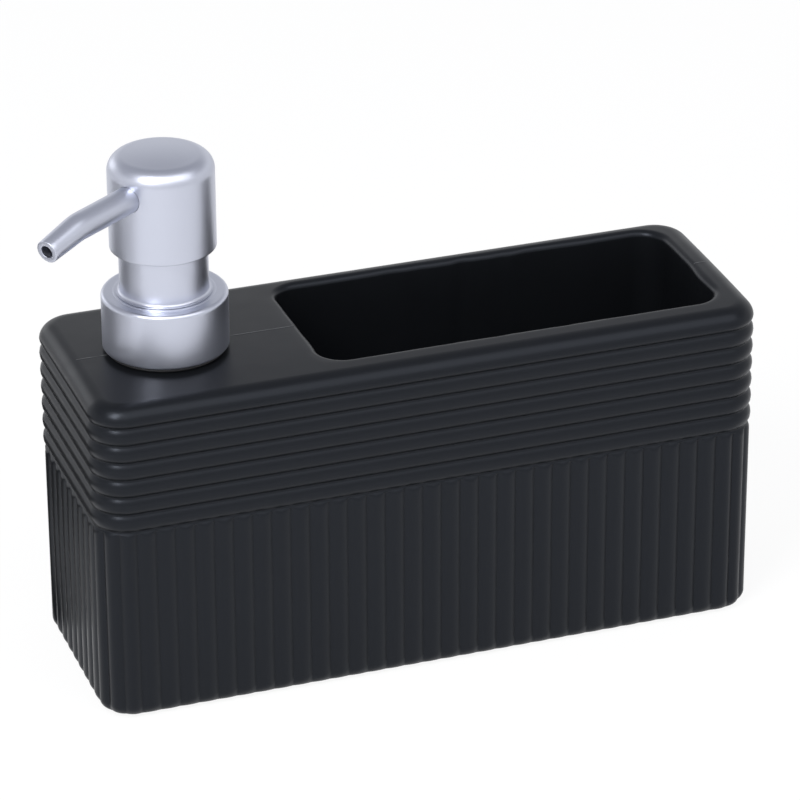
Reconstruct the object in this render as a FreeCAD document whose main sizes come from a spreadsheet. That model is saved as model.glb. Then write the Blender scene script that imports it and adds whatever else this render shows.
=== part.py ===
import FreeCAD
import Part
import Sketcher
import math
import os
import re

# A countertop soap pump caddy in millimetres: a ribbed ceramic block with a sponge compartment and a soap
# reservoir, and a lotion pump on the reservoir's mouth. +X runs from the pump's end to the compartment,
# -Y is the front, +Z is up, and the origin is the middle of the base on the worktop.

SIZES = {
    # Ceramic block, from the worktop up
    "body_length": 180.0,
    "body_width": 62.0,
    "body_height": 89.0,
    "corner_radius": 11.2,
    "top_round": 4.7,
    "foot_round": 4.4,
    # Horizontal beads below the lip
    "lip_height": 6.0,
    "bead_pitch": 4.83,
    "bead_count": 6,
    "bead_depth": 0.85,
    # Vertical reeds below the beads, on a wall that stands back under the last bead
    "band_step": 0.45,
    "reed_pitch": 5.07,
    "reed_depth": 0.7,
    "corner_reeds": 3,
    "crest_land": 0.3,
    "cutter_overrun": 1.0,
    # Sponge compartment
    "compartment_length": 109.2,
    "compartment_depth": 52.0,
    "compartment_corner": 6.0,
    "compartment_floor_round": 4.0,
    "front_rim": 12.6,
    "back_rim": 7.0,
    "end_rim": 6.8,
    "rim_round": 1.8,
    "rim_land": 0.3,
    # Soap reservoir
    "ceramic_wall": 6.0,
    "deck_thickness": 7.0,
    "base_thickness": 6.0,
    "reservoir_corner": 6.0,
    # Foam pad in the recess under the base
    "pad_thickness": 2.0,
    "pad_proud": 0.8,
    "pad_inset": 9.0,
    "pad_corner": 5.0,
    "pad_gap": 0.4,
    # Clearances
    "seat_gap": 0.05,
    "running_gap": 0.05,
    "glue_gap": 0.1,
    "free_gap": 0.3,
    # Pump axis and radial chain, from the stem outwards
    "pump_inset": 27.8,
    "stem_bore": 1.75,
    "stem_wall": 2.25,
    "bore_radius": 7.0,
    "housing_wall": 1.4,
    "neck_bore_gap": 2.2,
    "neck_wall": 3.0,
    "nut_wall": 1.64,
    "collar_sheet": 0.55,
    "collar_round": 1.9,
    "boss_wall": 2.1,
    "boss_gap": 2.2,
    "bush_wall": 2.46,
    "sleeve_wall": 0.45,
    "flare_width": 0.6,
    "flare_height": 1.0,
    "skirt_gap": 1.5,
    "head_sheet": 0.7,
    "head_round": 4.1,
    # Neck insert
    "skirt_step": 0.8,
    "insert_rim": 1.0,
    "insert_flange": 0.9,
    "insert_depth": 10.0,
    "neck_height": 10.5,
    # Pump heights
    "gasket_thickness": 1.0,
    "housing_flange": 1.3,
    "nut_shoulder": 1.7,
    "stroke": 11.0,
    "stroke_spare": 1.5,
    "sleeve_lap": 1.0,
    "core_spare": 0.5,
    "guide_height": 4.3,
    "plug_depth": 6.5,
    "piston_height": 6.0,
    "piston_lip": 1.4,
    "piston_waist": 1.0,
    "piston_top_gap": 0.5,
    "retainer_height": 4.0,
    "retainer_lap": 5.0,
    "retainer_rim": 1.6,
    "boss_depth": 8.5,
    "socket_rise": 2.0,
    # Return spring
    "spring_length": 24.0,
    "spring_radius": 4.6,
    "wire_radius": 0.45,
    "spring_turns": 8.0,
    # Inlet valve and dip tube
    "ball_radius": 2.5,
    "ball_lift": 1.2,
    "cage_gap": 0.4,
    "cage_lip_radius": 2.2,
    "cage_lip_height": 1.0,
    "cage_wall": 1.5,
    "port_radius": 1.5,
    "barrel_floor": 1.6,
    "valve_floor": 1.5,
    "socket_depth": 11.0,
    "tube_radius": 3.5,
    "tube_wall": 1.0,
    "tail_wall": 1.1,
    "dip_gap": 3.0,
    # Head and spout
    "spout_radius": 3.45,
    "spout_tip_radius": 3.0,
    "spout_bore": 1.7,
    "spout_root": 5.0,
    "spout_straight": 27.0,
    "spout_bend": 40.0,
    "spout_reach": 44.5,
    "spout_droop": 11.0,
    "spout_turn": 35.0,
    "spout_rise": 4.4,
    "cap_rise": 8.2,
}

# Places along the length and the depth of the ceramic block
PUMP_X = "(pump_inset - body_length / 2)"
STRAIGHT_X = "(body_length / 2 - corner_radius)"
STRAIGHT_Y = "(body_width / 2 - corner_radius)"
REED_END = "(body_length / 2 - band_step)"
REED_SIDE = "(body_width / 2 - band_step)"
REED_CORNER = "(corner_radius - band_step)"
BAY_RIGHT = "(body_length / 2 - end_rim)"
# The rim's rounding stops short of the rounding along the top edge of the block.
RIM_ROUND = "min(rim_round; end_rim - top_round - rim_land; back_rim - top_round - rim_land)"
BAY_LEFT = f"({BAY_RIGHT} - compartment_length)"
BAY_WIDTH = "(body_width - front_rim - back_rim)"
BAY_Y = "((front_rim - back_rim) / 2)"

# Heights of the ceramic block
FIRST_GROOVE = "(body_height - lip_height)"
LAST_GROOVE = f"({FIRST_GROOVE} - bead_count * bead_pitch)"
BAY_FLOOR = "(body_height - compartment_depth)"
RECESS_TOP = "pad_thickness"
SOAP_FLOOR = f"({RECESS_TOP} + base_thickness)"

# Radii of the pump, from the stem outwards
STEM = "(stem_bore + stem_wall)"
STEM_GUIDE = f"({STEM} + running_gap)"
BOSS = f"({STEM_GUIDE} + boss_wall)"
BUSH_BORE = f"({BOSS} + boss_gap)"
BUSH = f"({BUSH_BORE} + bush_wall)"
SLEEVE_BORE = f"({BUSH} + seat_gap)"
SLEEVE = f"({SLEEVE_BORE} + sleeve_wall)"
COLLAR_HOLE = f"({SLEEVE} + free_gap)"
HEAD_BORE = f"({SLEEVE} + skirt_gap)"
HEAD = f"({HEAD_BORE} + head_sheet)"
BARREL = "(bore_radius + housing_wall)"
NECK_BORE = f"({BARREL} + neck_bore_gap)"
NECK = f"({NECK_BORE} + neck_wall)"
INSERT_SKIRT = f"({NECK} + skirt_step)"
INSERT_RIM = f"({INSERT_SKIRT} + insert_rim)"
MOUTH = f"({INSERT_SKIRT} + glue_gap)"
FLANGE = f"({NECK} - free_gap)"
NUT_BORE = f"({NECK} + free_gap)"
NUT = f"({NUT_BORE} + nut_wall)"
COLLAR_BORE = f"({NUT} + seat_gap)"
COLLAR = f"({COLLAR_BORE} + collar_sheet)"
COLLAR_INNER_ROUND = "(collar_round - collar_sheet)"
HEAD_INNER_ROUND = "(head_round - head_sheet)"
TUBE_SOCKET = "(tube_radius + seat_gap)"
TAIL = f"({TUBE_SOCKET} + tail_wall)"
CAGE = "(ball_radius + cage_gap)"
CAGE_OUTER = f"({CAGE} + cage_wall)"

# Heights of the pump, from the deck up
RIM_TOP = "(body_height + insert_flange)"
NECK_TOP = f"({RIM_TOP} + neck_height)"
COLLAR_BASE = f"({RIM_TOP} + free_gap)"
FLANGE_BASE = f"({NECK_TOP} + gasket_thickness)"
FLANGE_TOP = f"({FLANGE_BASE} + housing_flange)"
SHOULDER_BASE = f"({FLANGE_TOP} + seat_gap)"
SHOULDER_TOP = f"({SHOULDER_BASE} + nut_shoulder)"
COLLAR_TOP = f"({SHOULDER_TOP} + collar_sheet)"
HEAD_BASE = f"({COLLAR_TOP} + stroke + stroke_spare)"
SLEEVE_TOP = f"({HEAD_BASE} + sleeve_lap)"
CORE_BASE = f"({SLEEVE_TOP} + stroke + core_spare)"
BOSS_BASE = f"({CORE_BASE} - boss_depth)"
STEM_TOP = f"({CORE_BASE} + socket_rise)"
SPOUT_Z = f"({CORE_BASE} + spout_rise)"
HEAD_TOP = f"({SPOUT_Z} + cap_rise)"
CORE_TOP = f"({HEAD_TOP} - head_sheet)"

# Heights of the pump, from the housing's flange down
GUIDE_TOP = f"({FLANGE_TOP} + guide_height)"
PLUG_BASE = f"({FLANGE_TOP} - plug_depth)"
PISTON_TOP = f"({PLUG_BASE} - piston_top_gap)"
PISTON_BASE = f"({PISTON_TOP} - piston_height)"
RETAINER_BASE = f"({PISTON_BASE} - retainer_height)"
SPRING_SEAT = f"({RETAINER_BASE} - spring_length)"
CAGE_TOP = f"({SPRING_SEAT} - cage_lip_height)"
BALL_STOP = "sqrt(ball_radius ^ 2 - cage_lip_radius ^ 2)"
BALL_Z = f"({CAGE_TOP} - free_gap - {BALL_STOP} - ball_lift)"
CONE_BASE = f"({BALL_Z} + port_radius - sqrt(2) * (ball_radius + running_gap))"
CONE_TOP = f"({CONE_BASE} + {CAGE} - port_radius)"
SOCKET_TOP = f"({CONE_BASE} - valve_floor)"
TAIL_BASE = f"({SOCKET_TOP} - socket_depth)"
BARREL_BASE = f"({SPRING_SEAT} - barrel_floor)"
TUBE_BASE = f"({SOAP_FLOOR} + dip_gap)"

doc = FreeCAD.newDocument("soap_pump_caddy")
sheet = doc.addObject("Spreadsheet::Sheet", "Sizes")
for row, (alias, number) in enumerate(SIZES.items(), start=1):
    sheet.set(f"A{row}", alias)
    sheet.set(f"B{row}", str(number))
    sheet.setAlias(f"B{row}", alias)
doc.recompute()

X_AXIS = FreeCAD.Vector(1, 0, 0)
Z_AXIS = FreeCAD.Vector(0, 0, 1)
SAME_PLACE = 1e-4


def bound(expression):
    """The expression with each size's name written as its cell of the sheet."""
    return re.sub(r"[a-z_]+", lambda word: f"Sizes.{word[0]}" if word[0] in SIZES else word[0], expression)


def value(expression):
    """The number that an expression over the sizes comes to."""
    number = sheet.evalExpression(bound(expression))
    return float(getattr(number, "Value", number))


def bind(thing, path, expression):
    """Ties a property of an object to an expression over the sizes."""
    thing.setExpression(path, bound(expression))


def new_body(label, x="0", turn="0"):
    """An empty body that stands at x on the length and is turned about the vertical."""
    body = doc.addObject("PartDesign::Body", label)
    body.Label = label
    body.Placement = FreeCAD.Placement(FreeCAD.Vector(), FreeCAD.Rotation(Z_AXIS, value(turn)))
    bind(body, "Placement.Base.x", x)
    if turn != "0":
        bind(body, "Placement.Rotation.Angle", turn)
    return body


def own_datum(body, role):
    """The body's own origin plane or axis with this role."""
    return next(datum for datum in body.Origin.OriginFeatures if datum.Role == role)


def new_sketch(body, name, role, place=("0", "0", "0"), axis=Z_AXIS, turn="0"):
    """A sketch on one of its body's own planes, moved to place and turned about axis in the plane's frame."""
    sketch = body.newObject("Sketcher::SketchObject", name)
    sketch.AttachmentSupport = [(own_datum(body, role), "")]
    sketch.MapMode = "FlatFace"
    sketch.AttachmentOffset = FreeCAD.Placement(FreeCAD.Vector(), FreeCAD.Rotation(axis, value(turn)))
    for letter, expression in zip("xyz", place):
        if expression != "0":
            bind(sketch, f"AttachmentOffset.Base.{letter}", expression)
    if turn != "0":
        bind(sketch, "AttachmentOffset.Rotation.Angle", turn)
    return sketch


def dimension(sketch, kind, *arguments):
    """A dimension of a sketch whose last argument is an expression over the sizes."""
    *points, expression = arguments
    index = sketch.addConstraint(Sketcher.Constraint(kind, *points, value(expression)))
    bind(sketch, f"Constraints[{index}]", expression)


def rule(sketch, kind, *arguments):
    sketch.addConstraint(Sketcher.Constraint(kind, *arguments))


START, END, CENTRE = 1, 2, 3
ORIGIN = (-1, 1)
VERTICAL_AXIS = -2


def section(sketch, corners):
    """A closed outline of straight edges through (radius, height) corners; radius "0" lies on the axis."""
    points = [FreeCAD.Vector(value(radius), value(height), 0) for radius, height in corners]
    count = len(points)
    for index in range(count):
        sketch.addGeometry(Part.LineSegment(points[index], points[(index + 1) % count]))
    for index, (radius, height) in enumerate(corners):
        rule(sketch, "Coincident", (index - 1) % count, END, index, START)
        if radius == "0":
            rule(sketch, "PointOnObject", index, START, VERTICAL_AXIS)
        else:
            dimension(sketch, "DistanceX", *ORIGIN, index, START, radius)
        dimension(sketch, "DistanceY", *ORIGIN, index, START, height)


def rounded_rectangle(sketch, length, width, radius):
    """A rectangle about the sketch's origin with round corners; its first edge is the one at the front."""
    half_length, half_width, round_size = value(length) / 2, value(width) / 2, value(radius)
    x, y = half_length - round_size, half_width - round_size
    sides = [
        ((-x, -half_width), (x, -half_width)),
        ((half_length, -y), (half_length, y)),
        ((x, half_width), (-x, half_width)),
        ((-half_length, y), (-half_length, -y)),
    ]
    centres = [(x, -y), (x, y), (-x, y), (-x, -y)]
    for quarter, (side, centre) in enumerate(zip(sides, centres)):
        start, end = (FreeCAD.Vector(*point, 0) for point in side)
        sketch.addGeometry(Part.LineSegment(start, end))
        circle = Part.Circle(FreeCAD.Vector(*centre, 0), Z_AXIS, round_size)
        first = (quarter - 1) * math.pi / 2
        sketch.addGeometry(Part.ArcOfCircle(circle, first, first + math.pi / 2))
    for side in range(0, 8, 2):
        rule(sketch, "Tangent", side, END, side + 1, START)
        rule(sketch, "Tangent", side + 1, END, (side + 2) % 8, START)
        rule(sketch, "Vertical" if side % 4 else "Horizontal", side)
        if side:
            rule(sketch, "Equal", 1, side + 1)
    dimension(sketch, "Radius", 1, radius)
    dimension(sketch, "DistanceY", 0, START, *ORIGIN, f"{width} / 2")
    dimension(sketch, "DistanceX", *ORIGIN, 2, START, f"{length} / 2")
    dimension(sketch, "DistanceY", *ORIGIN, 4, START, f"{width} / 2")
    dimension(sketch, "DistanceX", 6, START, *ORIGIN, f"{length} / 2")


def circle(sketch, radius, height="0"):
    """A circle on the sketch's vertical axis, at a height above its origin."""
    sketch.addGeometry(Part.Circle(FreeCAD.Vector(0, value(height), 0), Z_AXIS, value(radius)))
    dimension(sketch, "Radius", 0, radius)
    rule(sketch, "PointOnObject", 0, CENTRE, VERTICAL_AXIS)
    if height == "0":
        rule(sketch, "PointOnObject", 0, CENTRE, -1)
    else:
        dimension(sketch, "DistanceY", *ORIGIN, 0, CENTRE, height)


def cusp(sketch, reach, width, depth):
    """The sharp groove between two rounded ribs, cut into a face at -reach on the sketch's vertical axis.

    Each side is an arc that leaves the face tangent to it, half a width from the axis, and meets the other
    side on the axis, depth below the face. The cutter's straight back stands clear of the face.
    """
    face, half, deep = -value(reach), value(width) / 2, value(depth)
    round_size = (half**2 + deep**2) / (2 * deep)
    back = face - value("cutter_overrun")
    lean = math.atan2(deep - round_size, half)
    left, right = (FreeCAD.Vector(x, face + round_size, 0) for x in (-half, half))
    sketch.addGeometry(Part.ArcOfCircle(Part.Circle(left, Z_AXIS, round_size), -math.pi / 2, lean))
    turned = Part.Circle(right, Z_AXIS, round_size)
    sketch.addGeometry(Part.ArcOfCircle(turned, math.pi - lean, 3 * math.pi / 2))
    outside = [(half, face), (half, back), (-half, back), (-half, face)]
    corners = [FreeCAD.Vector(x, y, 0) for x, y in outside]
    for start, end in zip(corners, corners[1:]):
        sketch.addGeometry(Part.LineSegment(start, end))
    for edge in range(5):
        rule(sketch, "Coincident", edge, END, (edge + 1) % 5, START)
    rule(sketch, "Vertical", 0, CENTRE, 0, START)
    rule(sketch, "Vertical", 1, CENTRE, 1, END)
    rule(sketch, "Horizontal", 0, START, 1, END)
    rule(sketch, "PointOnObject", 0, END, VERTICAL_AXIS)
    rule(sketch, "Vertical", 2)
    rule(sketch, "Horizontal", 3)
    rule(sketch, "Vertical", 4)
    dimension(sketch, "DistanceX", 0, START, *ORIGIN, f"{width} / 2")
    dimension(sketch, "DistanceX", *ORIGIN, 1, END, f"{width} / 2")
    dimension(sketch, "DistanceY", 0, START, *ORIGIN, reach)
    dimension(sketch, "DistanceY", 0, END, *ORIGIN, f"{reach} - {depth}")
    dimension(sketch, "DistanceY", 2, END, 2, START, "cutter_overrun")


def pad(body, name, sketch, length):
    feature = body.newObject("PartDesign::Pad", name)
    feature.Profile = sketch
    bind(feature, "Length", length)
    return feature


def pocket(body, name, sketch, length, along_normal=False):
    """A cut from a sketch, against its normal or along it, which has to take material away."""
    doc.recompute()
    before = body.Shape.Volume
    feature = body.newObject("PartDesign::Pocket", name)
    feature.Profile = sketch
    feature.Reversed = along_normal
    bind(feature, "Length", length)
    doc.recompute()
    if body.Shape.Volume >= before:
        raise RuntimeError(f"{name} cuts nothing")
    return feature


def revolved(label, corners, x=PUMP_X, turn="0"):
    """A turned piece: its half section, turned about the pump's axis."""
    body = new_body(label, x, turn)
    sketch = new_sketch(body, f"{label}_section", "XZ_Plane")
    section(sketch, corners)
    feature = body.newObject("PartDesign::Revolution", f"{label}_turn")
    feature.Profile = sketch
    feature.ReferenceAxis = (sketch, ["V_Axis"])
    feature.Angle = 360
    return body


def rounded(body, name, radius, chosen):
    """Rounds the edges of the body as it stands that the test picks."""
    doc.recompute()
    base = body.Tip
    edges = [f"Edge{number}" for number, edge in enumerate(base.Shape.Edges, start=1) if chosen(edge)]
    feature = body.newObject("PartDesign::Fillet", name)
    feature.Base = (base, edges)
    bind(feature, "Radius", radius)
    return feature


def lies_at(thing, height):
    """Whether an edge or a face lies wholly at a height."""
    level, box = value(height), thing.BoundBox
    return max(abs(box.ZMin - level), abs(box.ZMax - level)) < SAME_PLACE


def is_ring(edge, radius, height):
    """Whether an edge is a circle of this radius about the vertical, at a height."""
    return lies_at(edge, height) and abs(getattr(edge.Curve, "Radius", 0) - value(radius)) < SAME_PLACE


def opening_edges(body, height):
    """The edges round the openings in the flat face at a height."""
    doc.recompute()
    face = next(face for face in body.Tip.Shape.Faces if lies_at(face, height))
    openings = [wire for wire in face.Wires if not wire.isSame(face.OuterWire)]
    return [edge for wire in openings for edge in wire.Edges]


def multiplied(body, name, original, steps):
    """Repeats a cut by a chain of patterns and mirrors, and makes the result the body's tip."""
    feature = body.newObject("PartDesign::MultiTransform", name)
    feature.Originals = [original]
    feature.Transformations = steps
    body.Tip = feature
    doc.recompute()
    return feature


def row_of(body, name, sketch, axis, length, count):
    step = body.newObject("PartDesign::LinearPattern", name)
    step.Direction = (sketch, [axis])
    bind(step, "Length", length)
    bind(step, "Occurrences", count)
    return step


def mirror_of(body, name, role):
    step = body.newObject("PartDesign::Mirrored", name)
    step.MirrorPlane = (own_datum(body, role), [""])
    return step


def bead_grooves(body):
    """The grooves between the beads: one cusp carried round the block, repeated down the band."""
    path = new_sketch(body, "bead_path", "XY_Plane", ("0", "0", FIRST_GROOVE))
    rounded_rectangle(path, "body_length", "body_width", "corner_radius")
    place = ("0", FIRST_GROOVE, f"-{STRAIGHT_X}")
    profile = new_sketch(body, "bead_cusp", "YZ_Plane", place, -Z_AXIS, "90")
    cusp(profile, "(body_width / 2)", "(bead_pitch - crest_land)", "bead_depth")
    groove = body.newObject("PartDesign::SubtractivePipe", "bead_groove")
    groove.Profile = profile
    groove.Spine = (path, [f"Edge{number}" for number in range(1, 9)])
    doc.recompute()
    rows = body.newObject("PartDesign::LinearPattern", "bead_grooves")
    rows.Originals = [groove]
    rows.Direction = (path, ["N_Axis"])
    rows.Reversed = True
    bind(rows, "Length", "bead_count * bead_pitch")
    bind(rows, "Occurrences", "bead_count + 1")
    body.Tip = rows
    doc.recompute()


def reed_grooves(body):
    """The grooves between the reeds: rows along the sides and the ends, and a fan round each corner."""
    front_reeds = f"round(2 * {STRAIGHT_X} / reed_pitch)"
    end_reeds = f"round(2 * {STRAIGHT_Y} / reed_pitch)"

    width = f"(2 * {STRAIGHT_X} / {front_reeds} - crest_land)"
    side = new_sketch(body, "side_cusp", "XY_Plane", (f"-{STRAIGHT_X}", "0", "0"))
    cusp(side, REED_SIDE, width, "reed_depth")
    cut = pocket(body, "side_groove", side, LAST_GROOVE, along_normal=True)
    along = row_of(body, "side_row", side, "H_Axis", f"2 * {STRAIGHT_X}", f"{front_reeds} + 1")
    multiplied(body, "side_grooves", cut, [along, mirror_of(body, "side_mirror", "XZ_Plane")])

    width = f"(2 * {STRAIGHT_Y} / {end_reeds} - crest_land)"
    end = new_sketch(body, "end_cusp", "XY_Plane", ("0", STRAIGHT_Y, "0"), -Z_AXIS, "90")
    cusp(end, REED_END, width, "reed_depth")
    cut = pocket(body, "end_groove", end, LAST_GROOVE, along_normal=True)
    across = row_of(body, "end_row", end, "H_Axis", f"2 * {STRAIGHT_Y}", f"{end_reeds} + 1")
    multiplied(body, "end_grooves", cut, [across, mirror_of(body, "end_mirror", "YZ_Plane")])

    width = f"(2 * {REED_CORNER} * sin(45 / corner_reeds) - crest_land)"
    place = (f"-{STRAIGHT_X}", f"-{STRAIGHT_Y}", "0")
    corner = new_sketch(body, "corner_cusp", "XY_Plane", place, -Z_AXIS, "90 / corner_reeds")
    cusp(corner, REED_CORNER, width, "reed_depth")
    cut = pocket(body, "corner_groove", corner, LAST_GROOVE, along_normal=True)
    fan = body.newObject("PartDesign::PolarPattern", "corner_fan")
    fan.Axis = (corner, ["N_Axis"])
    fan.Reversed = True
    bind(fan, "Angle", "90 - 180 / corner_reeds")
    bind(fan, "Occurrences", "corner_reeds - 1")
    to_back = mirror_of(body, "corner_mirror_back", "XZ_Plane")
    to_right = mirror_of(body, "corner_mirror_right", "YZ_Plane")
    multiplied(body, "corner_grooves", cut, [fan, to_back, to_right])


def make_caddy_body():
    """The ceramic block: a ribbed, rounded slab with the compartment, the reservoir and the mouth."""
    body = new_body("caddy_body")
    wall_outline = new_sketch(body, "reeded_outline", "XY_Plane", ("0", "0", "pad_proud"))
    rounded_rectangle(wall_outline, f"(2 * {REED_END})", f"(2 * {REED_SIDE})", REED_CORNER)
    pad(body, "reeded_wall", wall_outline, f"{LAST_GROOVE} - pad_proud")
    band_outline = new_sketch(body, "beaded_outline", "XY_Plane", ("0", "0", LAST_GROOVE))
    rounded_rectangle(band_outline, "body_length", "body_width", "corner_radius")
    pad(body, "beaded_band", band_outline, f"body_height - {LAST_GROOVE}")
    rounded(body, "foot_rounding", "foot_round", lambda edge: lies_at(edge, "pad_proud"))
    rounded(body, "top_rounding", "top_round", lambda edge: lies_at(edge, "body_height"))

    place = (f"({BAY_LEFT} + {BAY_RIGHT}) / 2", BAY_Y, "body_height")
    bay = new_sketch(body, "compartment_outline", "XY_Plane", place)
    rounded_rectangle(bay, "compartment_length", BAY_WIDTH, "compartment_corner")
    pocket(body, "compartment", bay, "compartment_depth")
    rounded(body, "compartment_floor", "compartment_floor_round", lambda edge: lies_at(edge, BAY_FLOOR))
    rim = opening_edges(body, "body_height")
    rounded(body, "compartment_rim", RIM_ROUND, lambda edge: any(edge.isSame(other) for other in rim))
    bead_grooves(body)
    reed_grooves(body)

    tank_length = f"({BAY_LEFT} + body_length / 2 - 2 * ceramic_wall)"
    tank_x = f"(({BAY_LEFT} - body_length / 2) / 2)"
    tank = new_sketch(body, "reservoir_outline", "XY_Plane", (tank_x, "0", SOAP_FLOOR))
    rounded_rectangle(tank, tank_length, "(body_width - 2 * ceramic_wall)", "reservoir_corner")
    pocket(body, "reservoir", tank, f"body_height - deck_thickness - {SOAP_FLOOR}", along_normal=True)
    under = new_sketch(body, "lower_outline", "XY_Plane", ("0", "0", SOAP_FLOOR))
    rounded_rectangle(
        under, "(body_length - 2 * ceramic_wall)", "(body_width - 2 * ceramic_wall)", "reservoir_corner"
    )
    pocket(body, "lower_reservoir", under, f"{BAY_FLOOR} - ceramic_wall - {SOAP_FLOOR}", along_normal=True)

    mouth = new_sketch(body, "mouth_outline", "XY_Plane", (PUMP_X, "0", "body_height"))
    circle(mouth, MOUTH)
    pocket(body, "mouth", mouth, "deck_thickness + ceramic_wall")
    recess = new_sketch(body, "recess_outline", "XY_Plane", ("0", "0", "pad_proud"))
    recess_size = [f"(body_{side} - 2 * pad_inset + 2 * pad_gap)" for side in ("length", "width")]
    rounded_rectangle(recess, *recess_size, "(pad_corner + pad_gap)")
    pocket(body, "pad_recess", recess, f"{RECESS_TOP} - pad_proud", along_normal=True)
    return body


def make_base_pad():
    """The foam sheet under the base, glued into its recess."""
    body = new_body("base_pad")
    outline = new_sketch(body, "pad_outline", "XY_Plane")
    pad_size = [f"(body_{side} - 2 * pad_inset)" for side in ("length", "width")]
    rounded_rectangle(outline, *pad_size, "pad_corner")
    pad(body, "pad_sheet", outline, "pad_thickness")
    return body


def make_neck_insert():
    """The plastic neck that the collar screws on, glued into the ceramic mouth."""
    skirt_base = "(body_height - insert_depth)"
    return revolved(
        "neck_insert",
        [
            (NECK_BORE, skirt_base),
            (INSERT_SKIRT, skirt_base),
            (INSERT_SKIRT, "body_height"),
            (INSERT_RIM, "body_height"),
            (INSERT_RIM, RIM_TOP),
            (NECK, RIM_TOP),
            (NECK, NECK_TOP),
            (NECK_BORE, NECK_TOP),
        ],
    )


def make_neck_gasket():
    """The flat seal between the neck and the housing's flange."""
    inner, outer = f"({BARREL} + free_gap)", FLANGE
    return revolved(
        "neck_gasket", [(inner, NECK_TOP), (outer, NECK_TOP), (outer, FLANGE_BASE), (inner, FLANGE_BASE)]
    )


def make_pump_housing():
    """The barrel: flange, bore, ball cage with its lip and seat, and the dip tube's socket."""
    return revolved(
        "pump_housing",
        [
            ("bore_radius", FLANGE_TOP),
            (FLANGE, FLANGE_TOP),
            (FLANGE, FLANGE_BASE),
            (BARREL, FLANGE_BASE),
            (BARREL, BARREL_BASE),
            (CAGE_OUTER, f"({BARREL_BASE} - {BARREL} + {CAGE_OUTER})"),
            (CAGE_OUTER, CONE_BASE),
            (TAIL, SOCKET_TOP),
            (TAIL, TAIL_BASE),
            (TUBE_SOCKET, TAIL_BASE),
            (TUBE_SOCKET, SOCKET_TOP),
            ("port_radius", SOCKET_TOP),
            ("port_radius", CONE_BASE),
            (CAGE, CONE_TOP),
            (CAGE, CAGE_TOP),
            ("cage_lip_radius", CAGE_TOP),
            ("cage_lip_radius", SPRING_SEAT),
            ("bore_radius", SPRING_SEAT),
        ],
    )


def make_guide_bush():
    """The bush that closes the barrel, guides the stem and stands up inside the sleeve."""
    plug = "(bore_radius - seat_gap)"
    return revolved(
        "guide_bush",
        [
            (STEM_GUIDE, PLUG_BASE),
            (plug, PLUG_BASE),
            (plug, FLANGE_TOP),
            (BUSH, FLANGE_TOP),
            (BUSH, SLEEVE_TOP),
            (BUSH_BORE, SLEEVE_TOP),
            (BUSH_BORE, GUIDE_TOP),
            (STEM_GUIDE, GUIDE_TOP),
        ],
    )


def make_chimney_sleeve():
    """The metal sleeve over the bush, with a small flare over the collar's hole."""
    flare_base, flare = f"({COLLAR_TOP} + free_gap)", f"({COLLAR_HOLE} + flare_width)"
    return revolved(
        "chimney_sleeve",
        [
            (SLEEVE_BORE, FLANGE_TOP),
            (SLEEVE, FLANGE_TOP),
            (SLEEVE, flare_base),
            (flare, flare_base),
            (SLEEVE, f"({flare_base} + flare_height)"),
            (SLEEVE, SLEEVE_TOP),
            (SLEEVE_BORE, SLEEVE_TOP),
        ],
    )


def make_dip_tube():
    """The tube from the housing's socket to just above the reservoir's floor."""
    bore = "(tube_radius - tube_wall)"
    return revolved(
        "dip_tube",
        [(bore, TUBE_BASE), ("tube_radius", TUBE_BASE), ("tube_radius", SOCKET_TOP), (bore, SOCKET_TOP)],
    )


def make_inlet_ball():
    """The ball of the inlet valve, on its seat in the cage."""
    ball = doc.addObject("Part::Sphere", "inlet_ball")
    ball.Label = "inlet_ball"
    bind(ball, "Radius", "ball_radius")
    bind(ball, "Placement.Base.x", PUMP_X)
    bind(ball, "Placement.Base.z", BALL_Z)
    return ball


def make_return_spring():
    """The compression spring between the barrel's floor and the retainer: one round wire on a helix."""
    body = new_body("return_spring", PUMP_X)
    first_coil = ("spring_radius", f"({SPRING_SEAT} + wire_radius)", "0")
    wire = new_sketch(body, "wire_section", "XZ_Plane", first_coil)
    circle(wire, "wire_radius")
    helix = body.newObject("PartDesign::AdditiveHelix", "coils")
    helix.Profile = wire
    helix.ReferenceAxis = (own_datum(body, "Z_Axis"), [""])
    helix.Mode = "height-turns-angle"
    bind(helix, "Height", "spring_length - 2 * wire_radius")
    bind(helix, "Turns", "spring_turns")
    return body


def make_stem():
    """The hollow rod from the piston up into the head's core."""
    return revolved(
        "stem", [("stem_bore", PISTON_BASE), (STEM, PISTON_BASE), (STEM, STEM_TOP), ("stem_bore", STEM_TOP)]
    )


def make_piston():
    """The two-lip seal that runs in the barrel."""
    bore, lip = f"({STEM} + seat_gap)", "(bore_radius - running_gap)"
    waist = f"({lip} - piston_waist)"
    return revolved(
        "piston",
        [
            (bore, PISTON_BASE),
            (lip, PISTON_BASE),
            (lip, f"({PISTON_BASE} + piston_lip)"),
            (waist, f"({PISTON_BASE} + piston_lip + piston_waist)"),
            (waist, f"({PISTON_TOP} - piston_lip - piston_waist)"),
            (lip, f"({PISTON_TOP} - piston_lip)"),
            (lip, PISTON_TOP),
            (bore, PISTON_TOP),
        ],
    )


def make_piston_retainer():
    """The plug in the stem's end that carries the piston and takes the spring."""
    spigot, rim = "(stem_bore - seat_gap)", f"({STEM} + retainer_rim)"
    lap_top = f"({PISTON_BASE} + retainer_lap)"
    return revolved(
        "piston_retainer",
        [
            ("0", RETAINER_BASE),
            (rim, RETAINER_BASE),
            (rim, PISTON_BASE),
            (spigot, PISTON_BASE),
            (spigot, lap_top),
            ("0", lap_top),
        ],
    )


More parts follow.
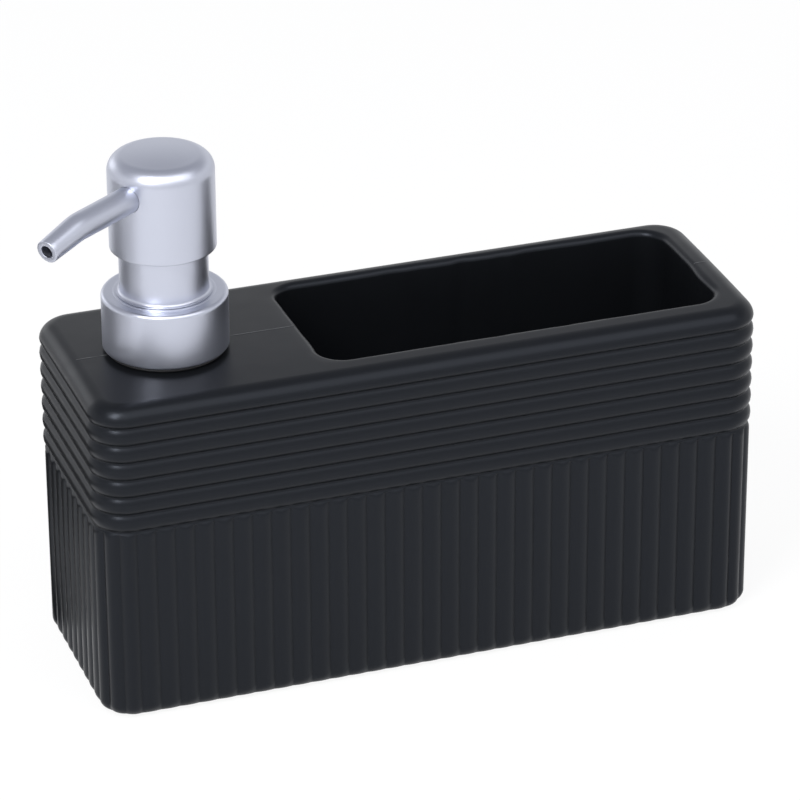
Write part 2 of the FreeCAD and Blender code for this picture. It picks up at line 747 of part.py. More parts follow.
def make_collar_nut():
    """The threaded nut inside the collar, whose shoulder clamps the housing's flange."""
    base = f"({COLLAR_BASE} + collar_sheet)"
    body = revolved(
        "collar_nut",
        [
            (NUT_BORE, base),
            (NUT, base),
            (NUT, SHOULDER_TOP),
            (COLLAR_HOLE, SHOULDER_TOP),
            (COLLAR_HOLE, SHOULDER_BASE),
            (NUT_BORE, SHOULDER_BASE),
        ],
    )
    rounded(body, "nut_edge", COLLAR_INNER_ROUND, lambda edge: is_ring(edge, NUT, SHOULDER_TOP))
    return body


def make_collar_shell():
    """The sheet metal cap over the nut."""
    body = revolved(
        "collar_shell",
        [
            (COLLAR_BORE, COLLAR_BASE),
            (COLLAR, COLLAR_BASE),
            (COLLAR, COLLAR_TOP),
            (COLLAR_HOLE, COLLAR_TOP),
            (COLLAR_HOLE, SHOULDER_TOP),
            (COLLAR_BORE, SHOULDER_TOP),
        ],
    )
    rounded(body, "collar_edge", "collar_round", lambda edge: is_ring(edge, COLLAR, COLLAR_TOP))
    inside = lambda edge: is_ring(edge, COLLAR_BORE, SHOULDER_TOP)
    rounded(body, "collar_inner_edge", COLLAR_INNER_ROUND, inside)
    return body


def spout_hole(body, radius, start):
    """A round hole along the spout's root, from start out through the piece."""
    sketch = new_sketch(body, f"{body.Label}_hole", "YZ_Plane", ("0", "0", f"-{start}"))
    circle(sketch, radius, SPOUT_Z)
    return pocket(body, f"{body.Label}_spout_hole", sketch, f"{HEAD} + cutter_overrun - {start}")


def make_head_core():
    """The plastic core of the head: the stem's socket, the channel and the spout's socket."""
    core = f"({HEAD_BORE} - seat_gap)"
    socket_top = f"({STEM_TOP} + seat_gap)"
    body = revolved(
        "head_core",
        [
            (STEM_GUIDE, BOSS_BASE),
            (BOSS, BOSS_BASE),
            (BOSS, CORE_BASE),
            (core, CORE_BASE),
            (core, CORE_TOP),
            ("0", CORE_TOP),
            ("0", SPOUT_Z),
            ("stem_bore", SPOUT_Z),
            ("stem_bore", socket_top),
            (STEM_GUIDE, socket_top),
        ],
        turn="spout_turn",
    )
    rounded(body, "core_edge", HEAD_INNER_ROUND, lambda edge: is_ring(edge, core, CORE_TOP))
    spout_hole(body, "spout_radius + seat_gap", "spout_root")
    channel = new_sketch(body, "channel_section", "YZ_Plane")
    circle(channel, "spout_bore", SPOUT_Z)
    pocket(body, "channel", channel, "spout_root")
    return body


def make_head_shell():
    """The sheet metal cup of the head, with the spout's hole in its side."""
    body = revolved(
        "head_shell",
        [
            (HEAD_BORE, HEAD_BASE),
            (HEAD, HEAD_BASE),
            (HEAD, HEAD_TOP),
            ("0", HEAD_TOP),
            ("0", CORE_TOP),
            (HEAD_BORE, CORE_TOP),
        ],
        turn="spout_turn",
    )
    rounded(body, "head_edge", "head_round", lambda edge: is_ring(edge, HEAD, HEAD_TOP))
    rounded(body, "head_inner_edge", HEAD_INNER_ROUND, lambda edge: is_ring(edge, HEAD_BORE, CORE_TOP))
    spout_hole(body, "spout_radius + glue_gap", BOSS)
    return body


def make_spout():
    """The spout: a straight tube out of the core, then a short bend and a tapered nozzle that points down."""
    body = new_body("spout", PUMP_X, "spout_turn")
    bend_end = "(spout_straight + spout_bend * sin(spout_droop))"
    bend_drop = "(spout_bend * (1 - cos(spout_droop)))"
    nozzle_drop = f"((spout_reach - {bend_end}) * tan(spout_droop))"
    mouth_z = f"({SPOUT_Z} - {bend_drop} - {nozzle_drop})"

    path = new_sketch(body, "spout_path", "XZ_Plane")
    level, bend_radius, droop = value(SPOUT_Z), value("spout_bend"), math.radians(value("spout_droop"))
    points = [
        FreeCAD.Vector(-value(out), value(height), 0)
        for out, height in [
            ("spout_root", SPOUT_Z),
            ("spout_straight", SPOUT_Z),
            (bend_end, f"({SPOUT_Z} - {bend_drop})"),
            ("spout_reach", mouth_z),
        ]
    ]
    bend = Part.Circle(FreeCAD.Vector(points[1].x, level - bend_radius, 0), Z_AXIS, bend_radius)
    top = math.pi / 2
    path.addGeometry(Part.LineSegment(points[0], points[1]))
    path.addGeometry(Part.ArcOfCircle(bend, top, top + droop))
    path.addGeometry(Part.LineSegment(points[2], points[3]))
    rule(path, "Horizontal", 0)
    rule(path, "Tangent", 0, END, 1, START)
    rule(path, "Tangent", 1, END, 2, START)
    dimension(path, "DistanceX", 0, START, *ORIGIN, "spout_root")
    dimension(path, "DistanceX", 0, END, *ORIGIN, "spout_straight")
    dimension(path, "DistanceY", *ORIGIN, 0, START, SPOUT_Z)
    dimension(path, "Radius", 1, "spout_bend")
    dimension(path, "DistanceX", 2, START, *ORIGIN, bend_end)
    dimension(path, "DistanceX", 2, END, *ORIGIN, "spout_reach")

    shoulder = new_sketch(body, "spout_shoulder", "YZ_Plane", ("0", SPOUT_Z, "-spout_straight"))
    circle(shoulder, "spout_radius")
    pad(body, "spout_tube", shoulder, "spout_straight - spout_root")
    mouth_place = ("0", mouth_z, "-spout_reach")
    mouth = new_sketch(body, "spout_mouth", "YZ_Plane", mouth_place, -X_AXIS, "spout_droop")
    circle(mouth, "spout_tip_radius")
    nozzle = body.newObject("PartDesign::AdditivePipe", "spout_nozzle")
    nozzle.Profile = shoulder
    nozzle.Spine = (path, ["Edge2", "Edge3"])
    nozzle.Transformation = "Multisection"
    nozzle.Sections = [(mouth, [""])]
    doc.recompute()

    bore_section = new_sketch(body, "spout_bore_section", "YZ_Plane", ("0", SPOUT_Z, "-spout_root"))
    circle(bore_section, "spout_bore")
    bore = body.newObject("PartDesign::SubtractivePipe", "spout_channel")
    bore.Profile = bore_section
    bore.Spine = (path, ["Edge1", "Edge2", "Edge3"])
    doc.recompute()
    return body


MAKERS = [
    make_caddy_body,
    make_base_pad,
    make_neck_insert,
    make_neck_gasket,
    make_pump_housing,
    make_guide_bush,
    make_chimney_sleeve,
    make_dip_tube,
    make_inlet_ball,
    make_return_spring,
    make_stem,
    make_piston,
    make_piston_retainer,
    make_collar_nut,
    make_collar_shell,
    make_head_core,
    make_head_shell,
    make_spout,
]
pieces = [make() for make in MAKERS]
doc.recompute()

failed = [thing.Label for thing in doc.Objects if {"Invalid", "Error"} & set(thing.State)]
if failed:
    raise RuntimeError(f"these objects failed: {failed}")
for piece in pieces:
    if piece.Shape.isNull() or not piece.Shape.isValid() or len(piece.Shape.Solids) != 1:
        raise RuntimeError(f"{piece.Label} is not one valid solid")

os.makedirs("parts", exist_ok=True)
for piece in pieces:
    piece.Shape.exportStep(f"parts/{piece.Label}.step")
    box = piece.Shape.BoundBox
    print(f"{piece.Label}: {piece.Shape.Volume:.0f} mm3, z {box.ZMin:.2f} to {box.ZMax:.2f}")
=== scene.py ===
# %% [markdown]
# # Soap pump caddy
# The object is a black glazed ceramic block with an open sponge compartment, and a satin metal lotion
# pump that stands in the block's mouth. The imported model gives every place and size. This lesson dresses
# it: fine surfaces stand in for the pieces that show, and the others keep their solids and get a finish.

import bmesh
import bpy
import numpy as np
from mathutils import Matrix, Vector


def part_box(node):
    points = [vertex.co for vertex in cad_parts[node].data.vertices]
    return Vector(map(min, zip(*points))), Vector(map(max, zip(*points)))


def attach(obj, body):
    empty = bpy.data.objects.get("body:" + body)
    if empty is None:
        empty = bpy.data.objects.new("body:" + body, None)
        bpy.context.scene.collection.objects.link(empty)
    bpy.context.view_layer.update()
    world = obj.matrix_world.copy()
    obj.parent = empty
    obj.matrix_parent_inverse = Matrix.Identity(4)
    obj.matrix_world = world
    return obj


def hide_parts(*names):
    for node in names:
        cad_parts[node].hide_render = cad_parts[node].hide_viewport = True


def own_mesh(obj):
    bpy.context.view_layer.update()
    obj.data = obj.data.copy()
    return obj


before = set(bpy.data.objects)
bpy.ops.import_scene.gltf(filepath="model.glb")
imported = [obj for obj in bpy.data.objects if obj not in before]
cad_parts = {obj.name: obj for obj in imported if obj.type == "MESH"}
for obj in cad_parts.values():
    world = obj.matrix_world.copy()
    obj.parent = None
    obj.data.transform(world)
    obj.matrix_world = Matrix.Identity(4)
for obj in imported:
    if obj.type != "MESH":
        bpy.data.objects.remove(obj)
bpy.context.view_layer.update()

MM = 0.001

# %% [markdown]
# ## Turning arrays into a mesh
# A piece is a few sheets, each a grid of points in rows and columns. Blender could also loft or spin
# curves, but a grid is worked out at once as a whole array, and its rows are easy to place where a form
# needs them. Sheets that share a border are welded there, so that a piece is one closed skin.


# %% Helpers for grids
def span(node):
    """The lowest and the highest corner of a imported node, as two arrays."""
    low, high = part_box(node)
    return np.array(low), np.array(high)


def grid_faces(rows, columns, loop_rows):
    """Quads between neighbours of a grid: point (i, j) has the number i * columns + j. The last column
    meets the first one again, and so does the last row where the rows loop too."""
    row = np.arange(rows if loop_rows else rows - 1)[:, None]
    column = np.arange(columns)[None, :]
    here = row * columns
    above = (row + 1) % rows * columns
    right = (column + 1) % columns
    quad = (here + column, here + right, above + right, above + column)
    return np.stack(np.broadcast_arrays(*quad), axis=-1)


def sheet(points, loop_rows=False, keep=None):
    """A grid's points as one list, and its faces, less those that the mask keep leaves out."""
    rows, columns, _ = points.shape
    faces = grid_faces(rows, columns, loop_rows)
    faces = faces.reshape(-1, 4) if keep is None else faces[keep]
    return points.reshape(-1, 3), faces


WELD = 0.002 * MM
CREASE = np.radians(38)


def piece_from(name, sheets, material, body, replaced):
    """Welds the sheets into one skin with outward faces, hangs it on its body's empty and hides the solid
    it replaces.
    """
    counts = np.cumsum([0] + [len(points) for points, _ in sheets])
    points = np.vstack([points for points, _ in sheets])
    faces = np.vstack([faces + start for (_, faces), start in zip(sheets, counts)])
    mesh = bpy.data.meshes.new(name)
    mesh.from_pydata(points, [], faces.tolist())
    work = bmesh.new()
    work.from_mesh(mesh)
    bmesh.ops.remove_doubles(work, verts=work.verts, dist=WELD)
    bmesh.ops.recalc_face_normals(work, faces=work.faces)
    work.to_mesh(mesh)
    work.free()
    mesh.shade_smooth()
    mesh.set_sharp_from_angle(angle=CREASE)
    mesh.materials.append(material)
    piece = bpy.data.objects.new(name, mesh)
    bpy.context.scene.collection.objects.link(piece)
    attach(piece, body)
    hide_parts(replaced)
    print(f"{name}: {len(mesh.vertices)} points, {len(mesh.polygons)} faces")
    return piece


# %% [markdown]
# ## Finishes
# Each finish is one physically based shader. Its even values are set straight on the shader, and only
# what varies over the surface comes from noise on the object's own coordinates, so that it stays in place
# as parts move.


# %% A plain finish and its noise
def new_finish(name, colour, roughness, metallic=0.0):
    """A material and its one shader, with the values that are even all over."""
    material = bpy.data.materials.new(name)
    material.use_nodes = True
    shader = material.node_tree.nodes["Principled BSDF"]
    shader.inputs["Base Color"].default_value = (*colour, 1)
    shader.inputs["Roughness"].default_value = roughness
    shader.inputs["Metallic"].default_value = metallic
    return material, shader


def add_node(owner, kind, **settings):
    """A new node of a material or a world, with some of its settings made."""
    node = owner.node_tree.nodes.new(kind)
    for key, setting in settings.items():
        setattr(node, key, setting)
    return node


def join(owner, source, target):
    """A link from an output socket to an input socket."""
    owner.node_tree.links.new(source, target)


def noise(material, size, detail=2.0):
    """Noise on Object coordinates whose lumps are about the given size across."""
    place = add_node(material, "ShaderNodeTexCoord")
    texture = add_node(material, "ShaderNodeTexNoise")
    texture.inputs["Scale"].default_value = 1 / size
    texture.inputs["Detail"].default_value = detail
    join(material, place.outputs["Object"], texture.inputs["Vector"])
    return texture.outputs["Fac"]


NOISE_LOW, NOISE_HIGH = 0.3, 0.7


def spread(material, source, low, high):
    """The noise value stretched from its usual range onto the range low to high."""
    stretch = add_node(material, "ShaderNodeMapRange")
    stretch.inputs["From Min"].default_value = NOISE_LOW
    stretch.inputs["From Max"].default_value = NOISE_HIGH
    stretch.inputs["To Min"].default_value = low
    stretch.inputs["To Max"].default_value = high
    join(material, source, stretch.inputs["Value"])
    return stretch.outputs["Result"]


def uneven_gloss(material, shader, roughness, swing, size, detail=2.0):
    """A roughness that wanders about its middle value by the swing, in lumps of the given size."""
    wander = spread(material, noise(material, size, detail), roughness - swing, roughness + swing)
    join(material, wander, shader.inputs["Roughness"])


def add_bump(material, shader, height, strength, distance):
    """Tilts the shading by a height pattern, on top of any bump that is there."""
    bump = add_node(material, "ShaderNodeBump")
    bump.inputs["Strength"].default_value = strength
    bump.inputs["Distance"].default_value = distance
    join(material, height, bump.inputs["Height"])
    if shader.inputs["Normal"].is_linked:
        join(material, shader.inputs["Normal"].links[0].from_socket, bump.inputs["Normal"])
    join(material, bump.outputs["Normal"], shader.inputs["Normal"])


# %% [markdown]
# ### Satin black glaze
# The block is cast in a mould, glazed black and fired. The glaze is never quite even: it has a slow
# orange-peel swell, a fine grain, and a trace of the mould's parting line along the deck. The parting line
# is a bump, and its line is also painted lighter, a painted highlight along its ridge. A texture picture
# could show these, but noise needs no picture and has no seam at the corners.

# %% The glaze
_, BLOCK_HIGH = span("caddy_body")
DECK = BLOCK_HIGH[2]
SEAM_WIDTH = 0.35 * MM
SEAM_REACH = 0.1 * MM
SEAM_WEAR = 6 * MM


def seam_and_highlight_mask(material):
    """One on the block's middle line, fading to nothing at the seam's width beside it, and only within a
    small reach of the deck's height. Slow noise wears it away in places. It drives both the seam's bump and
    its painted highlight."""
    place = add_node(material, "ShaderNodeTexCoord")
    parts = add_node(material, "ShaderNodeSeparateXYZ")
    join(material, place.outputs["Object"], parts.inputs["Vector"])
    aside = add_node(material, "ShaderNodeMath", operation="ABSOLUTE")
    join(material, parts.outputs["Y"], aside.inputs[0])
    line = add_node(material, "ShaderNodeMapRange")
    line.inputs["From Min"].default_value = SEAM_WIDTH
    line.inputs["From Max"].default_value = 0
    join(material, aside.outputs[0], line.inputs["Value"])
    on_deck = add_node(material, "ShaderNodeMath", operation="GREATER_THAN")
    on_deck.inputs[1].default_value = DECK - SEAM_REACH
    join(material, parts.outputs["Z"], on_deck.inputs[0])
    worn = add_node(material, "ShaderNodeMath", operation="MULTIPLY")
    join(material, line.outputs["Result"], worn.inputs[0])
    join(material, spread(material, noise(material, SEAM_WEAR), 0, 1), worn.inputs[1])
    mask = add_node(material, "ShaderNodeMath", operation="MULTIPLY")
    join(material, worn.outputs[0], mask.inputs[0])
    join(material, on_deck.outputs[0], mask.inputs[1])
    return mask.outputs[0]


GLAZE_COLOUR = (0.0045, 0.0050, 0.0060)
GLAZE_ROUGHNESS = 0.325
GLAZE_MIRROR = 0.22
GLAZE_MIRROR_TINT = (0.78, 0.85, 1.0)
# Painted highlight: the seam's line is tinted lighter than the glaze, standing in for light along its
# ridge.
SEAM_HIGHLIGHT_COLOUR = (0.05, 0.052, 0.058)


def black_glaze():
    """Blue-black satin glaze with slow swell, fine grain and a faint seam on the deck, whose line is
    painted lighter as a painted highlight.
    """
    material, shader = new_finish("black_glaze", GLAZE_COLOUR, GLAZE_ROUGHNESS)
    shader.inputs["Specular IOR Level"].default_value = GLAZE_MIRROR
    shader.inputs["Specular Tint"].default_value = (*GLAZE_MIRROR_TINT, 1)
    uneven_gloss(material, shader, GLAZE_ROUGHNESS, swing=0.025, size=9 * MM, detail=4)
    seam = seam_and_highlight_mask(material)
    # The seam's painted highlight: its line is mixed towards a lighter colour.
    painted_seam_highlight = add_node(material, "ShaderNodeMix", data_type="RGBA")
    painted_seam_highlight.inputs["A"].default_value = (*GLAZE_COLOUR, 1)
    painted_seam_highlight.inputs["B"].default_value = (*SEAM_HIGHLIGHT_COLOUR, 1)
    join(material, seam, painted_seam_highlight.inputs["Factor"])
    join(material, painted_seam_highlight.outputs["Result"], shader.inputs["Base Color"])
    swell, grain = noise(material, 14 * MM), noise(material, 0.7 * MM)
    add_bump(material, shader, swell, strength=0.25, distance=0.3 * MM)
    add_bump(material, shader, grain, strength=0.2, distance=0.02 * MM)
    add_bump(material, shader, seam, strength=1.0, distance=0.15 * MM)
    return material


GLAZE = black_glaze()
print("finish:", GLAZE.name)

# %% [markdown]
# ### Satin metal
# The pump's caps and spout are drawn from thin stainless sheet and blasted with fine beads, which leaves a
# soft gloss with a very fine sparkle. A rough metal shader gives the gloss, and a fine bump the sparkle.

# %% The metal
METAL_COLOUR = (0.52, 0.54, 0.62)
METAL_ROUGHNESS = 0.36


def satin_metal():
    """Cool silver metal, half sharp, with a grain much finer than a millimetre."""
    material, shader = new_finish("satin_metal", METAL_COLOUR, METAL_ROUGHNESS, metallic=1.0)
    uneven_gloss(material, shader, METAL_ROUGHNESS, swing=0.02, size=0.5 * MM, detail=3)
    sparkle = noise(material, 0.22 * MM, detail=1)
    add_bump(material, shader, sparkle, strength=0.03, distance=0.01 * MM)
    return material


METAL = satin_metal()
print("finish:", METAL.name)

# %% [markdown]
# ### Moulded and soft finishes
# The pump's inner pieces are moulded plastic, drawn wire and a soft seal, and a thin foam pad lies under
# the block. They hardly show, so a plain shader with a little grain is enough for each.


# %% The plastics, the wire, the seal and the foam
def moulded(name, colour, roughness, grain):
    """A plain finish whose skin has a fine grain of the given size."""
    material, shader = new_finish(name, colour, roughness)
    uneven_gloss(material, shader, roughness, swing=0.05, size=grain)
    add_bump(material, shader, noise(material, grain), strength=0.15, distance=0.02 * MM)
    return material


BLACK_PLASTIC = moulded("black_polypropylene", (0.02, 0.02, 0.022), 0.5, 0.6 * MM)
PALE_PLASTIC = moulded("natural_polypropylene", (0.8, 0.8, 0.78), 0.4, 0.8 * MM)
TUBE_PLASTIC = moulded("tube_polyethylene", (0.82, 0.84, 0.84), 0.3, 1.2 * MM)
SEAL = moulded("pale_seal", (0.72, 0.72, 0.7), 0.6, 0.5 * MM)
FOAM = moulded("black_foam", (0.02, 0.02, 0.021), 0.85, 0.35 * MM)
WIRE_COLOUR = (0.55, 0.55, 0.56)


def drawn_wire():
    """Bright stainless wire with a slight draw texture."""
    material, shader = new_finish("drawn_wire", WIRE_COLOUR, roughness=0.25, metallic=1.0)
    add_bump(material, shader, noise(material, 0.3 * MM), strength=0.1, distance=0.01 * MM)
    return material


WIRE = drawn_wire()
FINISH_OF_NODE = {
    "neck_gasket": SEAL,
    "pump_housing": PALE_PLASTIC,
    "guide_bush": PALE_PLASTIC,
    "dip_tube": TUBE_PLASTIC,
    "inlet_ball": WIRE,
    "stem": PALE_PLASTIC,
    "piston": PALE_PLASTIC,
    "piston_retainer": PALE_PLASTIC,
    "collar_nut": BLACK_PLASTIC,
    "head_core": BLACK_PLASTIC,
}
for node, finish in FINISH_OF_NODE.items():
    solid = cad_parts[node]
    solid.data.materials.clear()
    solid.data.materials.append(finish)
print("solids that keep their shape:", len(FINISH_OF_NODE))

# %% [markdown]
# ## The ceramic block
# Six round beads run about the top of the block, and below them upright reeds go down and round the foot.
# Carving each groove with a boolean would be slow and leave hard edges. Here the whole outside is one
# surface over two parameters, the trip round the block and the way up its profile, and the grooves are
# depths taken off along its normal. Columns and rows crowd together at the groove lines, where the form is
# sharp.

# %% The trip round the block
END_TRIM = 0.4 * MM
HALF = BLOCK_HIGH[:2] - np.array([END_TRIM, 0])
CORNER = 9.5 * MM
STRAIGHTS = np.tile(2 * (HALF - CORNER), 2)
QUARTERS = STRAIGHTS + CORNER * np.pi / 2
REEDS = 92
REED_PITCH = QUARTERS.sum() / REEDS
FIRST_REED = 1.27 * MM
STATIONS = np.array([0, 0.06, 0.16, 0.32, 0.5, 0.68, 0.84, 0.94])


def trip_round():
    """Equal reeds all the way round: the front, the right end, the back and the left end, each a straight
    with a corner after it. The way along the outline gives, for each column, the signs of the corner centre
    that it belongs to, sliding from one corner to the next on a straight; and its outward normal."""
    start = (FIRST_REED + HALF[0] - CORNER) % REED_PITCH
    way = (start + (np.arange(REEDS)[:, None] + STATIONS).ravel() * REED_PITCH) % QUARTERS.sum()
    quarter = np.searchsorted(np.cumsum(QUARTERS), way, side="right")
    along = way - (np.cumsum(QUARTERS) - QUARTERS)[quarter]
    slide = 2 * np.minimum(along / STRAIGHTS[quarter], 1) - 1
    facing = (quarter - 1) * np.pi / 2
    angle = facing + np.maximum(along - STRAIGHTS[quarter], 0) / CORNER
    out = np.column_stack([np.cos(facing), np.sin(facing)])
    ahead = np.column_stack([-np.sin(facing), np.cos(facing)])
    return out + ahead * slide[:, None], np.column_stack([np.cos(angle), np.sin(angle)])


CENTRE_SIGN, OUTWARD = trip_round()
REED_SHARE = np.tile(STATIONS, REEDS)
COLUMNS = len(REED_SHARE)
print("columns round the block:", COLUMNS, "reed pitch in mm:", round(REED_PITCH / MM, 3))


# %% Rounded rectangles on the same columns
def outline(half, radius):
    """A rounded rectangle: the corner centres at half less the radius, plus the radius along the normal."""
    return CENTRE_SIGN * (np.asarray(half) - radius) + radius * OUTWARD


def raised(loop, height):
    """A flat loop lifted to one height."""
    return np.column_stack([loop, np.full(len(loop), height)])


CORE = CENTRE_SIGN * (HALF - CORNER)
print("half length and width in mm:", np.round(HALF / MM, 2))

# %% [markdown]
# ### Beads and reeds
# Two neighbouring ribs are circular arcs that meet in a groove line. Glaze pools in the line, so the bottom
# is softened: the distance to the line is never taken as less than the pool's half width.

# %% The groove section
BEAD_PITCH = 4.83 * MM
BEAD_DEPTH = 2.2 * MM
BEADS = 6
REED_DEPTH = 1.2 * MM
LAND = 0.3 * MM
BEAD_POOL, REED_POOL = 0.45 * MM, 0.3 * MM
LIP = 6.0 * MM
FIRST_GROOVE = DECK - LIP
LAST_GROOVE = FIRST_GROOVE - BEADS * BEAD_PITCH


def groove(distance, pitch, depth, pool):
    """Depth at a distance from a groove line: the drop of a circular arc that starts at the crest's flat
    land and is depth deep at the line, with the distance softened by the pooled glaze."""
    half = (pitch - LAND) / 2
    radius = (half**2 + depth**2) / (2 * depth)
    run = np.clip(half - np.sqrt(distance**2 + pool**2), 0, half)
    return radius - np.sqrt(radius**2 - run**2)


def blended_max(first, second, width):
    """The larger of two depths, with the crossing rounded over the given width."""
    return (first + second + np.sqrt((first - second) ** 2 + width**2)) / 2


def bead_depth(height):
    """Depth of the bead grooves at a height: the groove section at the distance to the nearest line."""
    number = np.clip(np.round((FIRST_GROOVE - height) / BEAD_PITCH), 0, BEADS)
    return groove(np.abs(height - FIRST_GROOVE + number * BEAD_PITCH), BEAD_PITCH, BEAD_DEPTH, BEAD_POOL)


REED = groove(np.minimum(REED_SHARE, 1 - REED_SHARE) * REED_PITCH, REED_PITCH, REED_DEPTH, REED_POOL)
print("deepest reed in mm:", round(REED.max() / MM, 3))

# %% [markdown]
# ### Up the profile
# The rows go from the recess under the base round the foot, up the reeds, over the beads and the lip, and
# onto the deck. Each part works out how far its rows lie inside the outline, and how high they are.

# %% Rows of the block's outside
STEP = 0.12 * MM
FOOT = 3.4 * MM
TOP = 4.7 * MM
DECK_STRIP = 0.3 * MM
PAD_LOW, PAD_HIGH = span("base_pad")
SHADOW_GAP = 0.3 * MM
BASE = PAD_LOW[2] + SHADOW_GAP
RECESS_GAP = 0.4 * MM
RECESS_CORNER = 5.4 * MM
REED_FADE = 2.5


def rows_at(inset, height):
    """Points at an inset from the outline and a height, each a whole grid of rows and columns."""
    inset, height = np.broadcast_arrays(inset + np.zeros(COLUMNS), height + np.zeros(COLUMNS))
    flat = CORE + (CORNER - inset)[..., None] * OUTWARD
    return np.concatenate([flat, height[..., None]], axis=-1)


def base_rows():
    """The pad's recess: a pole in its ceiling, the ceiling's edge, and the edge of its mouth."""
    edge = outline(PAD_HIGH[:2] + RECESS_GAP, RECESS_CORNER)
    return np.stack([raised(0 * edge, PAD_HIGH[2]), raised(edge, PAD_HIGH[2]), raised(edge, BASE)])


def foot_rows():
    """A quarter circle from the base to the wall. Reeds sink in along its normal and fade to the base."""
    lean = np.linspace(0, np.pi / 2, 11)[:, None]
    depth = REED * np.sin(lean) ** REED_FADE
    inset = STEP + FOOT * (1 - np.sin(lean)) + depth * np.sin(lean)
    return rows_at(inset, BASE + FOOT * (1 - np.cos(lean)) + depth * np.cos(lean))


PLAIN_END = 3 * MM
UNDER_BEAD = np.array([2.5, 2.0, 1.5, 1.1, 0.8, 0.55, 0.35, 0.2, 0.1]) * MM
RUN_OUT = 0.8 * MM
REED_SOFT = 0.12 * MM


def reed_rows():
    """The upright reeds, set back by a step, which run out under the last bead. Their rows crowd there."""
    plain = np.linspace(BASE + FOOT, LAST_GROOVE - PLAIN_END, 6)[1:]
    height = np.concatenate([plain, LAST_GROOVE - UNDER_BEAD])[:, None]
    share = np.clip((LAST_GROOVE - height) / RUN_OUT, 0, 1)
    inset = blended_max(bead_depth(height), share * (STEP + REED), REED_SOFT)
    return rows_at(inset, height)


BEAD_STATIONS = np.array([0, 0.04, 0.09, 0.16, 0.3, 0.5, 0.7, 0.84, 0.91, 0.96])


def bead_rows():
    """The beads, from the lowest groove line to the one under the lip."""
    way = (np.arange(BEADS)[:, None] + BEAD_STATIONS).reshape(-1, 1)
    height = np.vstack([LAST_GROOVE + way * BEAD_PITCH, [[FIRST_GROOVE]]])
    return rows_at(bead_depth(height), height)


OVER_GROOVE = np.array([[0.12], [0.35], [0.8]]) * MM
LIP_SOFT = 0.1 * MM


def lip_rows():
    """The lip above the beads and its rounding, then a narrow flat strip that starts the deck."""
    below = FIRST_GROOVE + OVER_GROOVE
    lean = np.linspace(0, np.pi / 2, 13)[:, None]
    height = np.vstack([below, DECK - TOP * (1 - np.sin(lean))])
    fallen = np.vstack([0 * below, TOP * (1 - np.cos(lean))])
    inset = blended_max(bead_depth(height), fallen, LIP_SOFT)
    return np.concatenate([rows_at(inset, height), rows_at(np.array([[TOP + DECK_STRIP]]), DECK)])


OUTSIDE = np.concatenate([base_rows(), foot_rows(), reed_rows(), bead_rows(), lip_rows()])
print("rows and columns of the outside:", OUTSIDE.shape[:2])

# %% [markdown]
# ### The deck and its two openings
# The flat deck has a round mouth for the pump and a rounded rectangle for the sponge. One grid can't have
# two holes, so a line across the deck parts it into two rings. In each ring a column runs straight from
# the border towards the middle of the opening, and stops at the opening's edge.

# %% Two rings
COLLAR_LOW, COLLAR_HIGH = span("collar_shell")
PUMP = (COLLAR_LOW[:2] + COLLAR_HIGH[:2]) / 2
MOUTH = 14.5 * MM
END_RIM = 8.3 * MM
BACK_RIM = 6.8 * MM
FRONT_RIM = 9.7 * MM
BAY_LENGTH = 108.2 * MM
BAY_CORNER = 7.0 * MM
BAY_HALF = np.array([BAY_LENGTH, 2 * HALF[1] - FRONT_RIM - BACK_RIM]) / 2
BAY = np.array([HALF[0] - END_RIM - BAY_HALF[0], (FRONT_RIM - BACK_RIM) / 2])
PARTING = -38 * MM
PARTING_POINTS = 90
RING_ROWS = 6
HALVINGS = 45

EDGE = OUTSIDE[-1][:, :2]
FRONT_CUT = np.argmin(np.abs(EDGE[:, 0] - PARTING) + (EDGE[:, 1] > 0))
BACK_CUT = np.argmin(np.abs(EDGE[:, 0] - PARTING) + (EDGE[:, 1] < 0))
ACROSS = np.linspace(EDGE[FRONT_CUT], EDGE[BACK_CUT], PARTING_POINTS)[1:-1]
PUMP_BORDER = np.vstack([EDGE[BACK_CUT:], EDGE[: FRONT_CUT + 1], ACROSS])
BAY_BORDER = np.vstack([EDGE[FRONT_CUT : BACK_CUT + 1], ACROSS[::-1]])


def directions(border, middle):
    """The unit vectors from a middle point to the points of a border."""
    away = border - middle
    return away / np.linalg.norm(away, axis=1, keepdims=True)


def reach(way, half, radius):
    """How far each ray runs from the middle of a rounded rectangle to its edge, by halving the bracket:
    a point is inside while its distance beyond the corner centres is less than the radius."""
    near = np.zeros(len(way))
    far = np.full(len(way), 2 * np.hypot(*half))
    for _ in range(HALVINGS):
        middle = (near + far) / 2
        beyond = np.abs(way * middle[:, None]) - (np.asarray(half) - radius)
        outside = np.hypot(*np.maximum(beyond, 0).T) + np.minimum(beyond.max(axis=1), 0) > radius
        near, far = np.where(outside, near, middle), np.where(outside, middle, far)
    return near


def flat_ring(border, opening):
    """Straight columns from the border of the deck to the edge of an opening, all at the deck's height."""
    share = np.linspace(0, 1, RING_ROWS)[:, None, None]
    flat = border + (opening - border) * share
    return np.concatenate([flat, np.full(flat.shape[:2] + (1,), DECK)], axis=-1)


PUMP_WAY = directions(PUMP_BORDER, PUMP)
BAY_WAY = directions(BAY_BORDER, BAY)
print("columns round the mouth and the compartment:", len(PUMP_WAY), len(BAY_WAY))

# %% [markdown]
# ### The sponge compartment
# It is a deep box with a soft rim and a rounded floor. Its rim was finished by hand with a wet sponge
# before firing, so its edge wanders by a fraction of a millimetre.

# %% Rows of the compartment
BAY_FLOOR = 37 * MM
RIM = 1.8 * MM
FLOOR_ROUND = 4 * MM
WANDER = 0.16 * MM
WAVES = ((9, 1.0, 0), (16, 0.6, 1), (27, 0.4, 2))
FRONT_DRAFT = 2.9 * MM


def rim_wander():
    """A slow wave along the rim: the sum of three sines of the angle round the compartment, each with its
    count of waves, its share of the wander and its phase."""
    angle = np.arctan2(BAY_WAY[:, 1], BAY_WAY[:, 0])
    return WANDER * sum(share * np.sin(count * angle + phase) for count, share, phase in WAVES)


